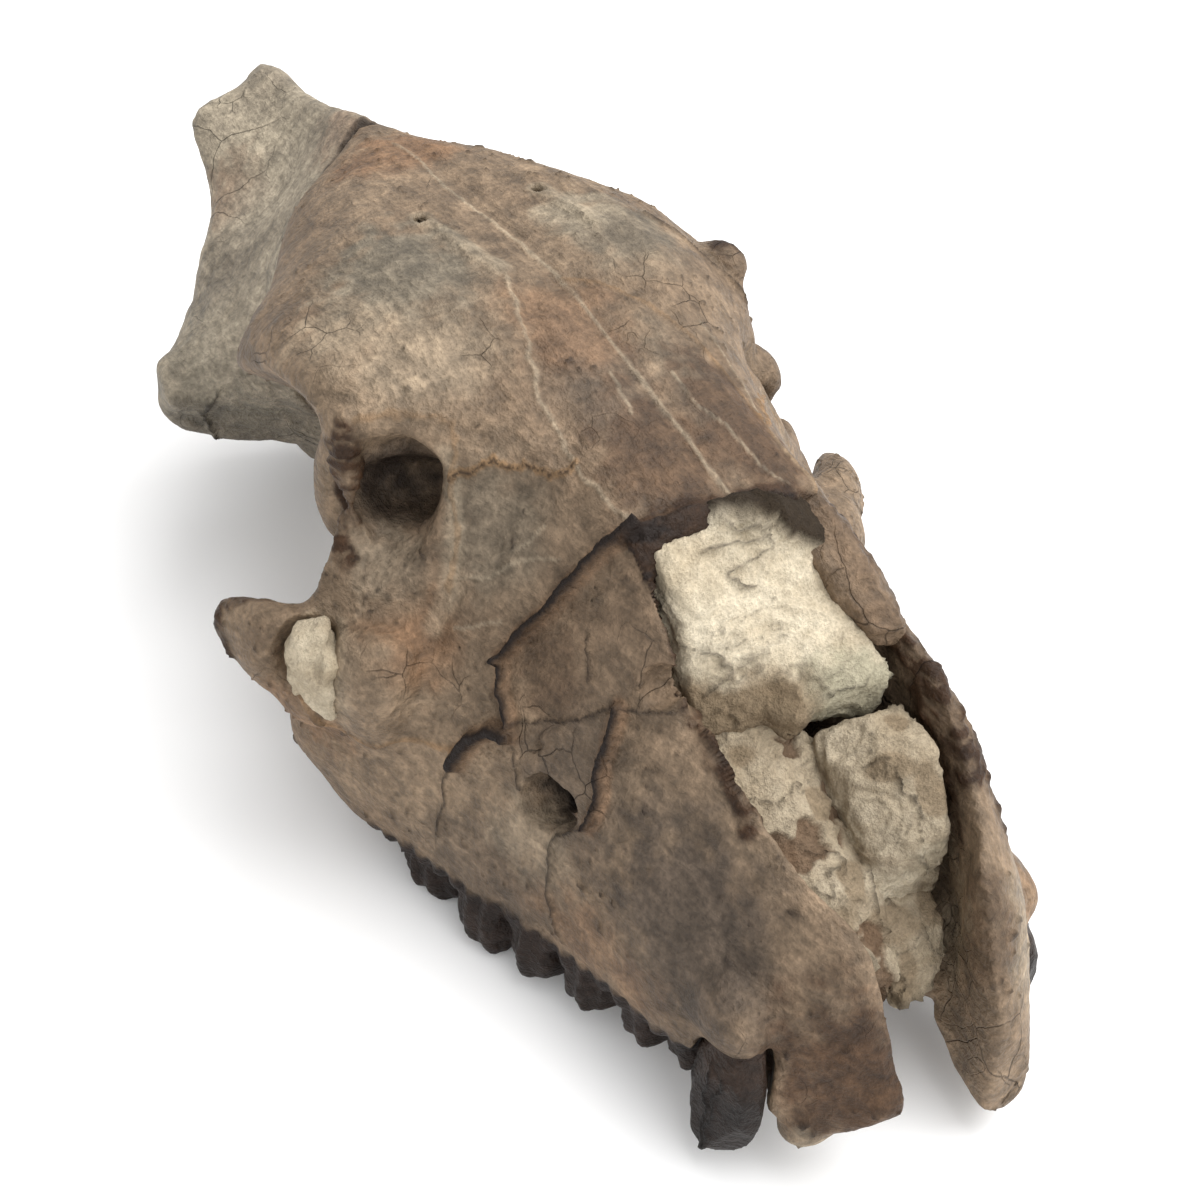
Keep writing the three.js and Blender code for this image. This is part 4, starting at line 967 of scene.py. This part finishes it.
PATCH_CENTRE = (-42.6, 84.6, 36.6)
PATCH_RADII = (3.6, 4.2, 7)
PATCH_REACH_MM = 12
PATCH_PROUD_MM = 0.05
patch_field, patch_low = solid_field(["jugal_right", "maxilla_right", "matrix_patch"], ROCK_STEP)
patch_field = softened(patch_field, 2)
smear = np.full_like(patch_field, 9)
cut, apart = block_round(patch_field, patch_low, PATCH_CENTRE, PATCH_REACH_MM, ROCK_STEP)
egg = np.sqrt(sum((a / r) ** 2 for a, r in zip(apart, PATCH_RADII))) - 1
_, along, height = apart
ragged = 0.3 * np.sin(0.9 * along + 0.7 * height) + 0.25 * np.sin(1.7 * height - 0.5 * along)
smear[cut] = egg * min(PATCH_RADII) + ragged
patch = Shell(np.maximum(smear, patch_field - PATCH_PROUD_MM), patch_low, step=ROCK_STEP)
patch.move += 0.5 * rough(patch.points, 2.4, 93)
patch.mark("stain_and_shade", 0.6 * lumps(patch.points, 3, 95))
rock_patch = patch.finished("rock_patch")
rock_patch.data.materials.append(rock_stone)
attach(rock_patch, "root")
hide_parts("matrix_patch")

# The photograph's setting.
# A white table top under soft light from above, left of the skull, and the camera over the right side of the
# snout.

bpy.ops.mesh.primitive_plane_add(size=4)
table_top = bpy.context.object
table_top.name = "table_top"
table_paint, tree, shader = empty_material("white_table_paint")
shader.inputs["Base Color"].default_value = linear("#f7f7f7")
shader.inputs["Roughness"].default_value = 0.8
shader.inputs["Emission Color"].default_value = (1, 1, 1, 1)
shader.inputs["Emission Strength"].default_value = 0.06
table_top.data.materials.append(table_paint)

world = bpy.data.worlds.new("soft_room")
world.use_nodes = True
world.node_tree.nodes["Background"].inputs["Color"].default_value = (1, 1, 1, 1)
world.node_tree.nodes["Background"].inputs["Strength"].default_value = 0.78
bpy.context.scene.world = world


def soft_light(name, place, aim, size, watts):
    """A square soft light at place, pointed at aim, both in metres."""
    lamp = bpy.data.lights.new(name, "AREA")
    lamp.size = size
    lamp.energy = watts
    holder = bpy.data.objects.new(name, lamp)
    holder.location = place
    holder.rotation_euler = (Vector(aim) - Vector(place)).to_track_quat("-Z", "Y").to_euler()
    bpy.context.scene.collection.objects.link(holder)


MID_SKULL = (0, 0, 0.03)
soft_light("window_light", (0.32, -0.1, 0.7), MID_SKULL, 0.8, 7.4)
soft_light("room_fill", (0.1, -0.7, 0.45), MID_SKULL, 0.8, 3)

CAMERA_TURN = math.radians(-29.8)
CAMERA_LIFT = math.radians(32.9)
CAMERA_ROLL = math.radians(-1.1)
CAMERA_PLACE = np.array([-87.5, -65.1, 144.6])
SENSOR_MM = 36
LENS_MM = 45.06
turn_level = Matrix([list(row) for row in LEVEL.T])
back = Vector((
    math.sin(CAMERA_TURN) * math.cos(CAMERA_LIFT),
    -math.cos(CAMERA_TURN) * math.cos(CAMERA_LIFT),
    math.sin(CAMERA_LIFT),
))
level_right = (-back).cross(Vector((0, 0, 1))).normalized()
level_up = level_right.cross(-back)
right = math.cos(CAMERA_ROLL) * level_right + math.sin(CAMERA_ROLL) * level_up
up = -math.sin(CAMERA_ROLL) * level_right + math.cos(CAMERA_ROLL) * level_up
axes = Matrix([right, up, back]).transposed()
camera = bpy.data.objects.new("camera", bpy.data.cameras.new("camera"))
camera.data.sensor_width = SENSOR_MM
camera.data.lens = LENS_MM
camera.matrix_world = Matrix.Translation(Vector(in_frame(CAMERA_PLACE))) @ (turn_level @ axes).to_4x4()
bpy.context.scene.collection.objects.link(camera)
bpy.context.scene.camera = camera
